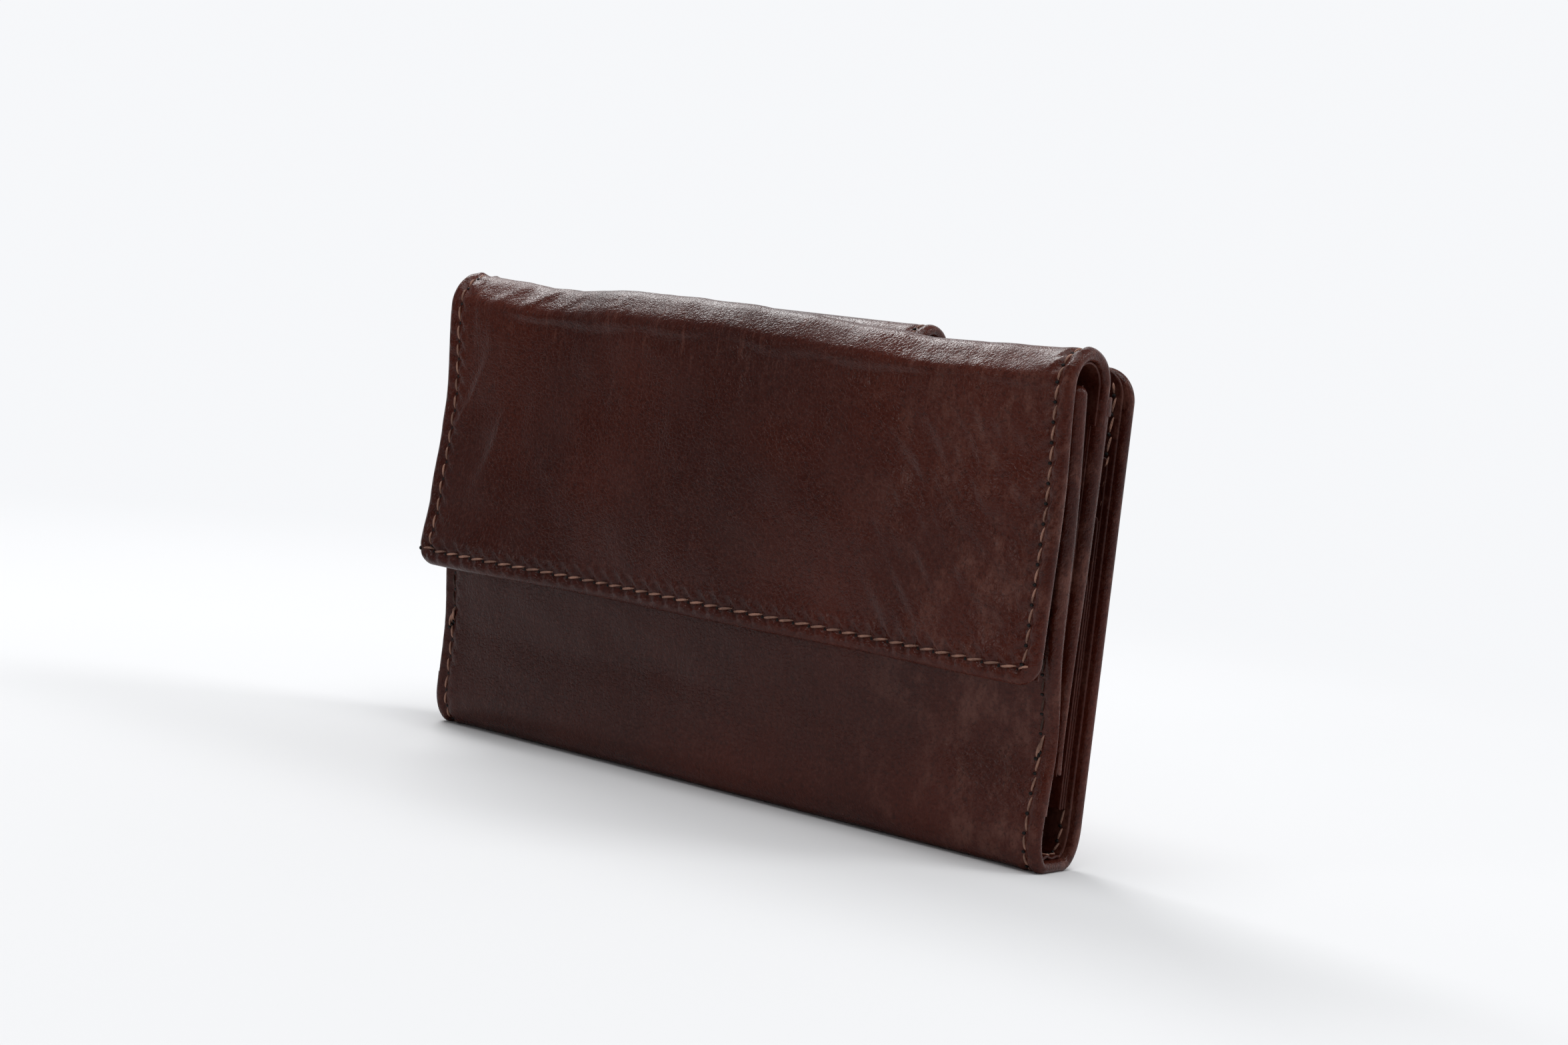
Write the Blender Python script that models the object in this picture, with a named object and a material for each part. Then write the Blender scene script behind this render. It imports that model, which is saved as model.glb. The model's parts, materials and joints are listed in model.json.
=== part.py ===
"""Trifold leather wallet, standing upright on the fold at its foot.

Units are metres. X runs along the wallet, +Y is the back and +Z is up. The origin is the middle of the
flat stretch under the bottom fold. Two leather strips make the wallet. The outer strip runs from the
front panel, round the bottom fold, up the back panel. The flap strip runs from the flap, over the top
fold, down the rear wall of the compartment. Every strip is a stack of leather, board and lining.
"""

import math

import bmesh
import bpy
from mathutils import Matrix

# Driving sizes.
WIDTH = 0.170
PANEL_TOP = 0.0975
FOOT_DEPTH = 0.017
FOOT_FLAT = 0.007
FOOT_HEIGHT = 0.0085
SEAM_HEIGHT = 0.025
FLAP_BOTTOM = 0.038
GAP = 0.0003

HALF = WIDTH / 2
BACK_TOP = PANEL_TOP + 0.0043

# The upright faces that the stacks are built on: the leather faces of the front panel, the flap, the
# compartment's rear wall and the back panel.
FRONT_FACE_Y = -FOOT_DEPTH / 2
FLAP_FACE_Y = FRONT_FACE_Y - 0.0080
WALL_FACE_Y = FRONT_FACE_Y + 0.0069
BACK_FACE_Y = FOOT_DEPTH / 2

# Layer thicknesses of the stacks and of the small sewn pieces.
FRONT_LEATHER = 0.0012
FRONT_BOARD = 0.0008
FRONT_LINING = 0.0008
STRIP_LEATHER = 0.0009
STRIP_BOARD = 0.0004
STRIP_LINING = 0.0006
BACK_LEATHER = 0.0008
BACK_BOARD = 0.0005
BACK_LINING = 0.0006
POCKET = 0.0006
BACKING = 0.0008
BAND = 0.0009
GUSSET = 0.0005
TAB = 0.0020
FRAME = 0.0006
FILM = 0.0003

# How far each layer lies behind the leather face of its stack.
FRONT_BOARD_INSET = FRONT_LEATHER + GAP
FRONT_LINING_INSET = FRONT_BOARD_INSET + FRONT_BOARD + GAP
FRONT_THICKNESS = FRONT_LINING_INSET + FRONT_LINING
STRIP_BOARD_INSET = STRIP_LEATHER + GAP
STRIP_LINING_INSET = STRIP_BOARD_INSET + STRIP_BOARD + GAP
STRIP_THICKNESS = STRIP_LINING_INSET + STRIP_LINING
BACK_BOARD_INSET = BACK_LEATHER + GAP
BACK_LINING_INSET = BACK_BOARD_INSET + BACK_BOARD + GAP
BACK_THICKNESS = BACK_LINING_INSET + BACK_LINING

# The front panel's face steps forward above the seam, then leans out to its top edge. A lean is a
# distance below the top edge and how far forward of the step the face is there.
FRONT_STEP = 0.0017
FRONT_STEP_HEIGHT = 0.013
FRONT_LEANS = ((0.032, 0.0), (0.019, 0.0008), (0.0, 0.0026))

# Corners and margins.
PANEL_CORNER = 0.007
FLAP_CORNER = 0.005
POCKET_CORNER = 0.002
BOARD_MARGIN = 0.004
POCKET_MARGIN = 0.003
CORNER_STEPS = 5
FOLD_STEPS = 8

# Compartment between the front panel and its rear wall, and what is sewn on the wall's rear.
WALL_FOOT = SEAM_HEIGHT - 0.005
BAND_TOP = PANEL_TOP - 0.0008
BAND_FOOT = BAND_TOP - 0.0127
NOTE_POCKET_TOP = BAND_FOOT - 0.006
RECEIPT_POCKET_TOP = NOTE_POCKET_TOP - 0.016
BACKING_Y = WALL_FACE_Y + GAP
POCKETS_Y = BACKING_Y + BACKING + GAP
GUSSET_FOOT = SEAM_HEIGHT + 0.011
GUSSET_TOP = PANEL_TOP - 0.0055
GUSSET_DEPTH = 0.012
GUSSET_INSET = 0.002
GUSSET_CLEARANCE = GAP + 0.0001

# Card side of the back panel: slots at the right, a pocket with a window at the left.
SLOTS_Y = BACK_FACE_Y - BACK_THICKNESS - GAP
SLOT_FOOT = FOOT_HEIGHT + 0.0035
SLOT_TOP = BACK_TOP - 0.0178
SLOT_STEP = 0.012
SLOT_COUNT = 3
SLOT_WIDTH = 0.088
SLOT_CENTRE_X = HALF - POCKET_MARGIN - SLOT_WIDTH / 2
WINDOW_WIDTH = 0.070
WINDOW_CENTRE_X = -(HALF - POCKET_MARGIN - WINDOW_WIDTH / 2)
WINDOW_TOP = SLOT_TOP - 0.004
WINDOW_BORDER = 0.007

# Press studs: a socket slips over the post of its stud.
POST_RADIUS = 0.0020
POST_BORE = POST_RADIUS + 0.00035
STUD_SIDES = 24
SMOOTH_ANGLE = 40
FLAP_STUD_Z = FLAP_BOTTOM + 0.010
FLAP_STUD_RADIUS = 0.0048
FLAP_STUD_FLANGE = 0.0007
FLAP_SOCKET_RADIUS = 0.0055
FLAP_SOCKET_THICKNESS = 0.0018
TAB_STUD_Z = (BAND_FOOT + BAND_TOP) / 2
TAB_STUD_RADIUS = 0.0048
TAB_STUD_FLANGE = 0.0006
TAB_SOCKET_RADIUS = 0.0044
SOCKET_PROUD = 0.0002

# Closure tab: sewn behind the back panel, it loops over the panel's top down to its stud.
TAB_WIDTH = 0.070
TAB_LOOP_Y = BACK_FACE_Y - 0.0015
TAB_LOOP_Z = BACK_TOP - 0.0013
TAB_LOOP_RADIUS = 0.0035 + TAB
TAB_TAIL_Y = TAB_LOOP_Y - TAB_LOOP_RADIUS
TAB_TAIL_FOOT = TAB_STUD_Z - 0.0083
TAB_SEWN_TOP = BACK_TOP - 0.0118
TAB_SEWN_FOOT = TAB_SEWN_TOP - 0.020
TAB_CORNER = 0.005

# Joint axes, all parallel to X: the two folds, and the seam that the front panel leans out about.
BACK_FOLD_AXIS = (0.0, 0.0, FOOT_HEIGHT)
FLAP_FOLD_RADIUS = (WALL_FACE_Y - FLAP_FACE_Y) / 2
FLAP_FOLD_AXIS = (0.0, (WALL_FACE_Y + FLAP_FACE_Y) / 2, PANEL_TOP)
FRONT_SEAM_AXIS = (0.0, FRONT_FACE_Y, SEAM_HEIGHT)

# Colour, roughness and metallic value of each material.
MATERIALS = {
    "burgundy_leather": ((0.034, 0.010, 0.008, 1.0), 0.38, 0.0),
    "stiffener_board": ((0.150, 0.110, 0.080, 1.0), 0.85, 0.0),
    "wine_lining": ((0.045, 0.016, 0.014, 1.0), 0.70, 0.0),
    "clear_film": ((0.800, 0.820, 0.830, 1.0), 0.08, 0.0),
    "antique_brass": ((0.420, 0.300, 0.160, 1.0), 0.32, 1.0),
}


def clear_scene():
    """Removes whatever the file holds."""
    for obj in list(bpy.data.objects):
        bpy.data.objects.remove(obj, do_unlink=True)


def material(name):
    """The named Principled material, made the first time it is asked for."""
    made = bpy.data.materials.get(name)
    if made is None:
        colour, roughness, metallic = MATERIALS[name]
        made = bpy.data.materials.new(name)
        made.use_nodes = True
        shader = made.node_tree.nodes["Principled BSDF"]
        shader.inputs["Base Color"].default_value = colour
        shader.inputs["Roughness"].default_value = roughness
        shader.inputs["Metallic"].default_value = metallic
    return made


def empty(name, location):
    """An empty on a joint's axis, which carries the pieces that turn about it."""
    made = bpy.data.objects.new(name, None)
    made.location = location
    bpy.context.scene.collection.objects.link(made)
    return made


def finish(name, shape, parent, material_name):
    """Turns the built shape into one object, carried by the empty on its axis if it moves."""
    mesh = bpy.data.meshes.new(name)
    shape.to_mesh(mesh)
    shape.free()
    made = bpy.data.objects.new(name, mesh)
    made.data.materials.append(material(material_name))
    bpy.context.scene.collection.objects.link(made)
    if parent is not None:
        made.parent = parent
        made.matrix_parent_inverse.translation = [-value for value in parent.location]
    return made


def thicken(made, thickness):
    """Gives a surface its thickness, on the side away from its normals."""
    solidify = made.modifiers.new("Thickness", "SOLIDIFY")
    solidify.thickness = thickness
    solidify.offset = -1.0
    solidify.use_even_offset = True


def line_normal(start, end):
    """Unit normal on the left of a line in the Y-Z plane."""
    length = math.dist(start, end)
    return (start[1] - end[1]) / length, (end[0] - start[0]) / length


def offset_path(path, distance):
    """The path moved to its right by the distance, with mitred corners."""
    normals = [line_normal(start, end) for start, end in zip(path, path[1:])]
    moved = []
    for index, (y, z) in enumerate(path):
        before = normals[max(index - 1, 0)]
        after = normals[min(index, len(normals) - 1)]
        sum_y, sum_z = before[0] + after[0], before[1] + after[1]
        reach = 2 * distance / (sum_y * sum_y + sum_z * sum_z)
        moved.append((y - reach * sum_y, z - reach * sum_z))
    return moved


def path_lengths(path):
    """Distance of each point of the path from its start."""
    lengths = [0.0]
    for start, end in zip(path, path[1:]):
        lengths.append(lengths[-1] + math.dist(start, end))
    return lengths


def point_at(path, lengths, distance):
    """The point of the path at a distance from its start."""
    last = len(path) - 2
    index = next((i for i in range(last) if distance <= lengths[i + 1]), last)
    share = (distance - lengths[index]) / (lengths[index + 1] - lengths[index])
    (start_y, start_z), (end_y, end_z) = path[index], path[index + 1]
    return start_y + share * (end_y - start_y), start_z + share * (end_z - start_z)


def corner_rows(radius):
    """Rows of a rounded end: distance from that end, and how much narrower the sheet is there."""
    if radius == 0:
        return []
    angles = [math.pi / 2 * step / CORNER_STEPS for step in range(CORNER_STEPS + 1)]
    return [(radius * (1 - math.cos(angle)), radius * (1 - math.sin(angle))) for angle in angles]


def sheet(name, path, thickness, parent, material_name, half=HALF, centre_x=0.0, start=0.0, end=0.0):
    """A sheet bent along its outer face's path, with its thickness on the right of the path.

    The radii of the corners at the two ends of the path are start and end.
    """
    lengths = path_lengths(path)
    total = lengths[-1]
    rows = {round(length, 7): 0.0 for length in lengths if start <= length <= total - end}
    rows.update({round(distance, 7): narrower for distance, narrower in corner_rows(start)})
    rows.update({round(total - distance, 7): narrower for distance, narrower in corner_rows(end)})
    shape = bmesh.new()
    pairs = []
    for distance in sorted(rows):
        y, z = point_at(path, lengths, distance)
        reach = half - rows[distance]
        pairs.append([shape.verts.new((centre_x + side * reach, y, z)) for side in (-1, 1)])
    for (left, right), (next_left, next_right) in zip(pairs, pairs[1:]):
        shape.faces.new((left, right, next_right, next_left))
    made = finish(name, shape, parent, material_name)
    thicken(made, thickness)
    return made


def turned(name, outline, z, parent, closed):
    """A brass piece turned about an axis along Y at a height, from (radius, y) points."""
    shape = bmesh.new()
    points = [shape.verts.new((reach, y, z)) for reach, y in outline]
    edges = [shape.edges.new(pair) for pair in zip(points, points[1:])]
    if closed:
        edges.append(shape.edges.new((points[-1], points[0])))
    bmesh.ops.spin(
        shape, geom=points + edges, cent=(0.0, 0.0, z), axis=(0.0, 1.0, 0.0),
        angle=2 * math.pi, steps=STUD_SIDES, use_merge=True,
    )
    bmesh.ops.remove_doubles(shape, verts=shape.verts, dist=GAP / 10)
    bmesh.ops.recalc_face_normals(shape, faces=shape.faces)
    made = finish(name, shape, parent, "antique_brass")
    made.data.shade_smooth()
    made.data.set_sharp_from_angle(angle=math.radians(SMOOTH_ANGLE))
    return made


def stud(name, radius, base_y, flange_y, post_y, z, parent):
    """A stud: a flat flange with the post standing on it."""
    outline = [(0.0, base_y), (radius, base_y), (radius, flange_y)]
    outline += [(POST_RADIUS, flange_y), (POST_RADIUS, post_y), (0.0, post_y)]
    return turned(name, outline, z, parent, closed=False)


def socket(name, radius, front_y, rear_y, z, parent):
    """A socket: a ring whose bore clears the post of its stud."""
    outline = [(POST_BORE, front_y), (radius, front_y), (radius, rear_y), (POST_BORE, rear_y)]
    return turned(name, outline, z, parent, closed=True)


def cut(target, name, shape):
    """Cuts the closed shape out of the target, and keeps it as a hidden cutter."""
    mesh = bpy.data.meshes.new(name)
    shape.to_mesh(mesh)
    shape.free()
    cutter = bpy.data.objects.new(name, mesh)
    cutter.hide_render = True
    cutter.display_type = "WIRE"
    bpy.context.scene.collection.objects.link(cutter)
    boolean = target.modifiers.new(name, "BOOLEAN")
    boolean.operation = "DIFFERENCE"
    boolean.object = cutter


def round_hole(target, name, radius, y, z):
    """A round hole along Y through the target, centred on X."""
    shape = bmesh.new()
    bmesh.ops.create_cone(
        shape, cap_ends=True, segments=STUD_SIDES, radius1=radius, radius2=radius, depth=2 * TAB
    )
    bmesh.ops.rotate(shape, verts=shape.verts, matrix=Matrix.Rotation(math.pi / 2, 3, "X"))
    bmesh.ops.translate(shape, verts=shape.verts, vec=(0.0, y, z))
    cut(target, name, shape)


def square_hole(target, name, centre, size):
    """A square-cornered window through the target."""
    shape = bmesh.new()
    bmesh.ops.create_cube(shape, size=1.0)
    bmesh.ops.scale(shape, verts=shape.verts, vec=size)
    bmesh.ops.translate(shape, verts=shape.verts, vec=centre)
    cut(target, name, shape)


def arc(centre, radius_y, radius_z, first, last):
    """Points on an ellipse about the centre, between two angles counted from +Y towards +Z."""
    angles = [math.radians(first + (last - first) * step / FOLD_STEPS) for step in range(FOLD_STEPS + 1)]
    return [(centre[0] + radius_y * math.cos(a), centre[1] + radius_z * math.sin(a)) for a in angles]


def upward(y, low, high):
    """A straight path up, whose sheet lies on its +Y side."""
    return [(y, low), (y, high)]


def downward(y, low, high):
    """A straight path down, whose sheet lies on its -Y side."""
    return [(y, high), (y, low)]


def front_face(low, high):
    """The front panel's face above the seam: it steps forward, then leans out to its top edge."""
    path = [(FRONT_FACE_Y, SEAM_HEIGHT), (FRONT_FACE_Y - FRONT_STEP, SEAM_HEIGHT + FRONT_STEP_HEIGHT)]
    path += [(FRONT_FACE_Y - FRONT_STEP - lean, PANEL_TOP - below) for below, lean in FRONT_LEANS]
    heights = [z for _, z in path]
    ends = [point_at(path, heights, z) for z in (low, high)]
    return ends[:1] + [point for point in path if low < point[1] < high] + ends[1:]


def fold_at_foot():
    """The outer face of the bottom fold, from the back panel to the front."""
    foot = FOOT_FLAT / 2
    reach = FOOT_DEPTH / 2 - foot
    path = [(BACK_FACE_Y, FOOT_HEIGHT + GAP)] + arc((foot, FOOT_HEIGHT), reach, FOOT_HEIGHT, 0, -90)
    path += arc((-foot, FOOT_HEIGHT), reach, FOOT_HEIGHT, -90, -180)
    return path + [(FRONT_FACE_Y, FOOT_HEIGHT + GAP)]


def fold_at_top():
    """The outer face of the top fold, from the flap to the rear wall of the compartment."""
    over = arc(FLAP_FOLD_AXIS[1:], FLAP_FOLD_RADIUS, FLAP_FOLD_RADIUS, 180, 0)
    return [(FLAP_FACE_Y, PANEL_TOP - GAP)] + over + [(WALL_FACE_Y, PANEL_TOP - GAP)]


def add_foot():
    """The front below the seam and the bottom fold, which the wallet stands on."""
    face = upward(FRONT_FACE_Y, FOOT_HEIGHT + 2 * GAP, SEAM_HEIGHT - GAP)
    sheet("front_base_leather", face, FRONT_LEATHER, None, "burgundy_leather")
    sheet("front_base_lining", offset_path(face, FRONT_LINING_INSET), FRONT_LINING, None, "wine_lining")
    board = upward(FRONT_FACE_Y, FOOT_HEIGHT + BOARD_MARGIN, SEAM_HEIGHT - GAP)
    sheet(
        "front_base_board", offset_path(board, FRONT_BOARD_INSET), FRONT_BOARD, None, "stiffener_board",
        half=HALF - BOARD_MARGIN,
    )
    fold = fold_at_foot()
    sheet("bottom_fold_leather", fold, BACK_LEATHER, None, "burgundy_leather")
    sheet("bottom_fold_lining", offset_path(fold, BACK_BOARD_INSET), BACK_LINING, None, "wine_lining")


def add_front_panel(parent):
    """The front panel above the seam, with the stud that the flap closes on."""
    face = front_face(SEAM_HEIGHT + GAP, PANEL_TOP)
    sheet("front_panel_leather", face, FRONT_LEATHER, parent, "burgundy_leather")
    sheet("front_panel_lining", offset_path(face, FRONT_LINING_INSET), FRONT_LINING, parent, "wine_lining")
    board = front_face(SEAM_HEIGHT + BOARD_MARGIN, PANEL_TOP - BOARD_MARGIN)
    sheet(
        "front_panel_board", offset_path(board, FRONT_BOARD_INSET), FRONT_BOARD, parent, "stiffener_board",
        half=HALF - BOARD_MARGIN,
    )
    base_y = FRONT_FACE_Y - FRONT_STEP - GAP
    flange_y = base_y - FLAP_STUD_FLANGE
    post_y = FLAP_FACE_Y + STRIP_THICKNESS + 2 * GAP
    stud("front_snap_stud", FLAP_STUD_RADIUS, base_y, flange_y, post_y, FLAP_STUD_Z, parent)


def add_gusset(name, side):
    """An end gusset: one thin sheet folded inwards between the front panel and the rear wall."""
    outer = side * (HALF - GUSSET_INSET)
    inner = side * (HALF - GUSSET_INSET - GUSSET_DEPTH)
    rear_y = WALL_FACE_Y - STRIP_THICKNESS - GAP
    shape = bmesh.new()
    rows = []
    for front_y, z in front_face(GUSSET_FOOT, GUSSET_TOP):
        ply_y = front_y + FRONT_THICKNESS + GUSSET_CLEARANCE
        corners = [(outer, ply_y), (inner, ply_y), (inner, rear_y), (outer, rear_y)]
        rows.append([shape.verts.new((x, y, z)) for x, y in corners[::-side]])
    for low, high in zip(rows, rows[1:]):
        for i in range(len(low) - 1):
            shape.faces.new((low[i], low[i + 1], high[i + 1], high[i]))
    thicken(finish(name, shape, None, "burgundy_leather"), GUSSET)


def add_compartment():
    """The rear wall of the compartment, the pockets on it, its gussets and its bottom welt."""
    top = PANEL_TOP - 2 * GAP
    face = downward(WALL_FACE_Y, WALL_FOOT, top)
    sheet("middle_wall_leather", face, STRIP_LEATHER, None, "burgundy_leather")
    sheet("middle_wall_lining", offset_path(face, STRIP_LINING_INSET), STRIP_LINING, None, "wine_lining")
    board = downward(WALL_FACE_Y, WALL_FOOT + BOARD_MARGIN, top - BOARD_MARGIN)
    sheet(
        "middle_wall_board", offset_path(board, STRIP_BOARD_INSET), STRIP_BOARD, None, "stiffener_board",
        half=HALF - BOARD_MARGIN,
    )
    sheet("middle_backing", upward(BACKING_Y, WALL_FOOT, BAND_TOP), BACKING, None, "wine_lining")
    band = sheet("middle_top_band", upward(POCKETS_Y, BAND_FOOT, BAND_TOP), BAND, None, "burgundy_leather")
    round_hole(band, "band_stud_hole", TAB_STUD_RADIUS + GAP, POCKETS_Y, TAB_STUD_Z)
    inset = HALF - POCKET_MARGIN
    note = upward(POCKETS_Y, WALL_FOOT, NOTE_POCKET_TOP)
    receipt = upward(POCKETS_Y + POCKET + GAP, WALL_FOOT, RECEIPT_POCKET_TOP)
    sheet("note_pocket", note, POCKET, None, "burgundy_leather", half=inset)
    sheet("receipt_pocket", receipt, POCKET, None, "burgundy_leather", half=inset, end=POCKET_CORNER)
    post_y = TAB_TAIL_Y + TAB - SOCKET_PROUD
    flange_y = POCKETS_Y + TAB_STUD_FLANGE
    stud("tab_snap_stud", TAB_STUD_RADIUS, POCKETS_Y, flange_y, post_y, TAB_STUD_Z, None)
    welt_y = FRONT_FACE_Y + FRONT_THICKNESS + GAP
    welt_thickness = WALL_FACE_Y - STRIP_THICKNESS - GAP - welt_y
    welt = upward(welt_y, WALL_FOOT, SEAM_HEIGHT - GAP)
    sheet("compartment_welt", welt, welt_thickness, None, "burgundy_leather")
    add_gusset("gusset_left", -1)
    add_gusset("gusset_right", 1)


def add_flap(parent):
    """The front flap, with its socket, and the fold over the top that it hangs from."""
    face = upward(FLAP_FACE_Y, FLAP_BOTTOM, PANEL_TOP - 2 * GAP)
    lining = offset_path(face, STRIP_LINING_INSET)
    sheet("flap_leather", face, STRIP_LEATHER, parent, "burgundy_leather", start=FLAP_CORNER)
    sheet("flap_lining", lining, STRIP_LINING, parent, "wine_lining", start=FLAP_CORNER)
    board = upward(FLAP_FACE_Y, FLAP_BOTTOM + BOARD_MARGIN, PANEL_TOP - BOARD_MARGIN)
    sheet(
        "flap_board", offset_path(board, STRIP_BOARD_INSET), STRIP_BOARD, parent, "stiffener_board",
        half=HALF - BOARD_MARGIN, start=FLAP_CORNER - BOARD_MARGIN,
    )
    front_y = FLAP_FACE_Y + STRIP_THICKNESS + GAP
    rear_y = front_y + FLAP_SOCKET_THICKNESS
    socket("flap_snap_socket", FLAP_SOCKET_RADIUS, front_y, rear_y, FLAP_STUD_Z, parent)
    fold = fold_at_top()
    sheet("flap_fold_leather", fold, STRIP_LEATHER, None, "burgundy_leather")
    sheet("flap_fold_lining", offset_path(fold, STRIP_LINING_INSET), STRIP_LINING, None, "wine_lining")


def add_back_panel(parent):
    """The back panel with its card slots and its window pocket."""
    low = FOOT_HEIGHT + 2 * GAP
    face = downward(BACK_FACE_Y, low, BACK_TOP)
    lining = offset_path(face, BACK_LINING_INSET)
    sheet("back_panel_leather", face, BACK_LEATHER, parent, "burgundy_leather", start=PANEL_CORNER)
    sheet("back_panel_lining", lining, BACK_LINING, parent, "wine_lining", start=PANEL_CORNER)
    board = downward(BACK_FACE_Y, low + BOARD_MARGIN, BACK_TOP - BOARD_MARGIN)
    sheet(
        "back_panel_board", offset_path(board, BACK_BOARD_INSET), BACK_BOARD, parent, "stiffener_board",
        half=HALF - BOARD_MARGIN, start=PANEL_CORNER - BOARD_MARGIN,
    )
    for index in range(SLOT_COUNT):
        y = SLOTS_Y - index * (POCKET + GAP)
        mouth = SLOT_TOP - index * SLOT_STEP
        sheet(
            f"card_slot_{index + 1}", downward(y, SLOT_FOOT, mouth), POCKET, parent, "burgundy_leather",
            half=SLOT_WIDTH / 2, centre_x=SLOT_CENTRE_X,
        )
    sheet(
        "window_film", downward(SLOTS_Y, SLOT_FOOT, WINDOW_TOP), FILM, parent, "clear_film",
        half=WINDOW_WIDTH / 2, centre_x=WINDOW_CENTRE_X,
    )
    frame_y = SLOTS_Y - FILM - GAP
    frame = sheet(
        "window_frame", downward(frame_y, SLOT_FOOT, WINDOW_TOP), FRAME, parent, "burgundy_leather",
        half=WINDOW_WIDTH / 2, centre_x=WINDOW_CENTRE_X, start=POCKET_CORNER,
    )
    centre = (WINDOW_CENTRE_X, frame_y, (SLOT_FOOT + WINDOW_TOP) / 2)
    size = (WINDOW_WIDTH - 2 * WINDOW_BORDER, 2 * TAB, WINDOW_TOP - SLOT_FOOT - 2 * WINDOW_BORDER)
    square_hole(frame, "window_opening", centre, size)


def add_closure_tab(parent):
    """The tab sewn to the back panel, which loops over its top and snaps on the band inside."""
    sewn_y = BACK_FACE_Y + GAP + TAB
    path = [(TAB_TAIL_Y, TAB_TAIL_FOOT)]
    path += arc((TAB_LOOP_Y, TAB_LOOP_Z), TAB_LOOP_RADIUS, TAB_LOOP_RADIUS, 180, 0)
    path += [(sewn_y, TAB_SEWN_TOP), (sewn_y, TAB_SEWN_FOOT)]
    tab = sheet(
        "closure_tab", path, TAB, parent, "burgundy_leather",
        half=TAB_WIDTH / 2, start=TAB_CORNER, end=TAB_CORNER,
    )
    round_hole(tab, "tab_socket_hole", TAB_SOCKET_RADIUS + GAP, TAB_TAIL_Y, TAB_STUD_Z)
    front_y = TAB_TAIL_Y - SOCKET_PROUD
    rear_y = TAB_TAIL_Y + TAB + SOCKET_PROUD
    socket("tab_snap_socket", TAB_SOCKET_RADIUS, front_y, rear_y, TAB_STUD_Z, parent)


def main():
    """Builds the whole wallet, shut."""
    clear_scene()
    front_axis = empty("front_seam_axis", FRONT_SEAM_AXIS)
    flap_axis = empty("flap_fold_axis", FLAP_FOLD_AXIS)
    back_axis = empty("back_fold_axis", BACK_FOLD_AXIS)
    add_foot()
    add_front_panel(front_axis)
    add_compartment()
    add_flap(flap_axis)
    add_back_panel(back_axis)
    add_closure_tab(back_axis)


if __name__ == "__main__":
    main()
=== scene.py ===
"""Looks of the trifold leather wallet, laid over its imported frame.

Every panel is one sheet of turned-edge leather, laid along a profile in the Y-Z plane and eased into the
shape of a used wallet, with its lining and its sewn seams. X runs along the wallet, +Y is the back and +Z
is up. Lengths are in metres.
"""

import json
import math

import bpy
import numpy as np
from bpy.props import FloatProperty, FloatVectorProperty, PointerProperty
from bpy.types import Operator, Panel, PropertyGroup
from mathutils import Matrix, Vector


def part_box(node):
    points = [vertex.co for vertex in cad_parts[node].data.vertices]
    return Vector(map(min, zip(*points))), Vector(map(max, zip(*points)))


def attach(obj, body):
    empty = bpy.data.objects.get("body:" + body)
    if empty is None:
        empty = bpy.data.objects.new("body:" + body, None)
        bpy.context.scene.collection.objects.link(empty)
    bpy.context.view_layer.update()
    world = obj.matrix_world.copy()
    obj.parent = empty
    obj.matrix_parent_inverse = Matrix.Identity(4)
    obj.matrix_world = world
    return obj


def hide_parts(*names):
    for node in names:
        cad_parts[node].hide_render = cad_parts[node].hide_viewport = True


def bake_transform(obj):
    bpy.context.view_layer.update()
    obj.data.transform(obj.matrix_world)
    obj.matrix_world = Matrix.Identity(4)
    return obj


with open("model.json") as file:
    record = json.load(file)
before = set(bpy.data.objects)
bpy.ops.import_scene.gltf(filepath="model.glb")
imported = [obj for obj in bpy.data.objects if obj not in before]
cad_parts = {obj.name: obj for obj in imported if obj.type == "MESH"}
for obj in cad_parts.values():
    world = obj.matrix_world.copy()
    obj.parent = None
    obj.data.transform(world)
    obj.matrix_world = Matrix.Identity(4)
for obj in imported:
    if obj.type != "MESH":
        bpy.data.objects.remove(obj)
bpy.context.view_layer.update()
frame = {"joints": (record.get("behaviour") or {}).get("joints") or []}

bl_info = {
    "name": "Trifold Wallet Looks",
    "version": (1, 0, 0),
    "blender": (4, 5, 0),
    "location": "View3D > Sidebar > Wallet",
    "description": "Leather, linings, seams and studs of a trifold wallet",
    "category": "Object",
}

MM = 0.001

# Places read from the frame.
FLAP_LOW, FLAP_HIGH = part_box("flap_leather")
BASE_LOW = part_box("front_base_leather")[0]
WALL_LOW, WALL_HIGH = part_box("middle_wall_leather")
BACKING_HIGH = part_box("middle_backing")[1]
BACK_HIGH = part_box("back_panel_leather")[1]
GUSSET_LOW, GUSSET_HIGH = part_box("gusset_right")
TAB_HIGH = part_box("closure_tab")[1]
WELT_LOW, WELT_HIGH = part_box("compartment_welt")
JOINTS = {joint["name"]: joint for joint in frame["joints"]}
HALF = FLAP_HIGH[0]
FLAP_FACE = FLAP_LOW[1]
WALL_FACE = WALL_HIGH[1]
FRONT_FACE = BASE_LOW[1]
BACK_FACE = BACK_HIGH[1]
SEAM_Z = JOINTS["front_seam"]["pos_m"][2]
ROLL_Y, ROLL_Z = JOINTS["flap_fold"]["pos_m"][1:]
ROLL_RADIUS = (WALL_FACE - FLAP_FACE) / 2
FOOT_Z = JOINTS["back_fold"]["pos_m"][2]
FOOT_FLAT = 3.5 * MM
SPLIT_Z = FOOT_Z + 3.5 * MM

# Thicknesses of the finished sheets, rim to rim.
STRIP_THICK = 2.3 * MM
FRONT_THICK = 3.2 * MM
WALL_THICK = 4.0 * MM
LINING_THICK = 0.8 * MM
THIN_LINING = 0.5 * MM

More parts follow.
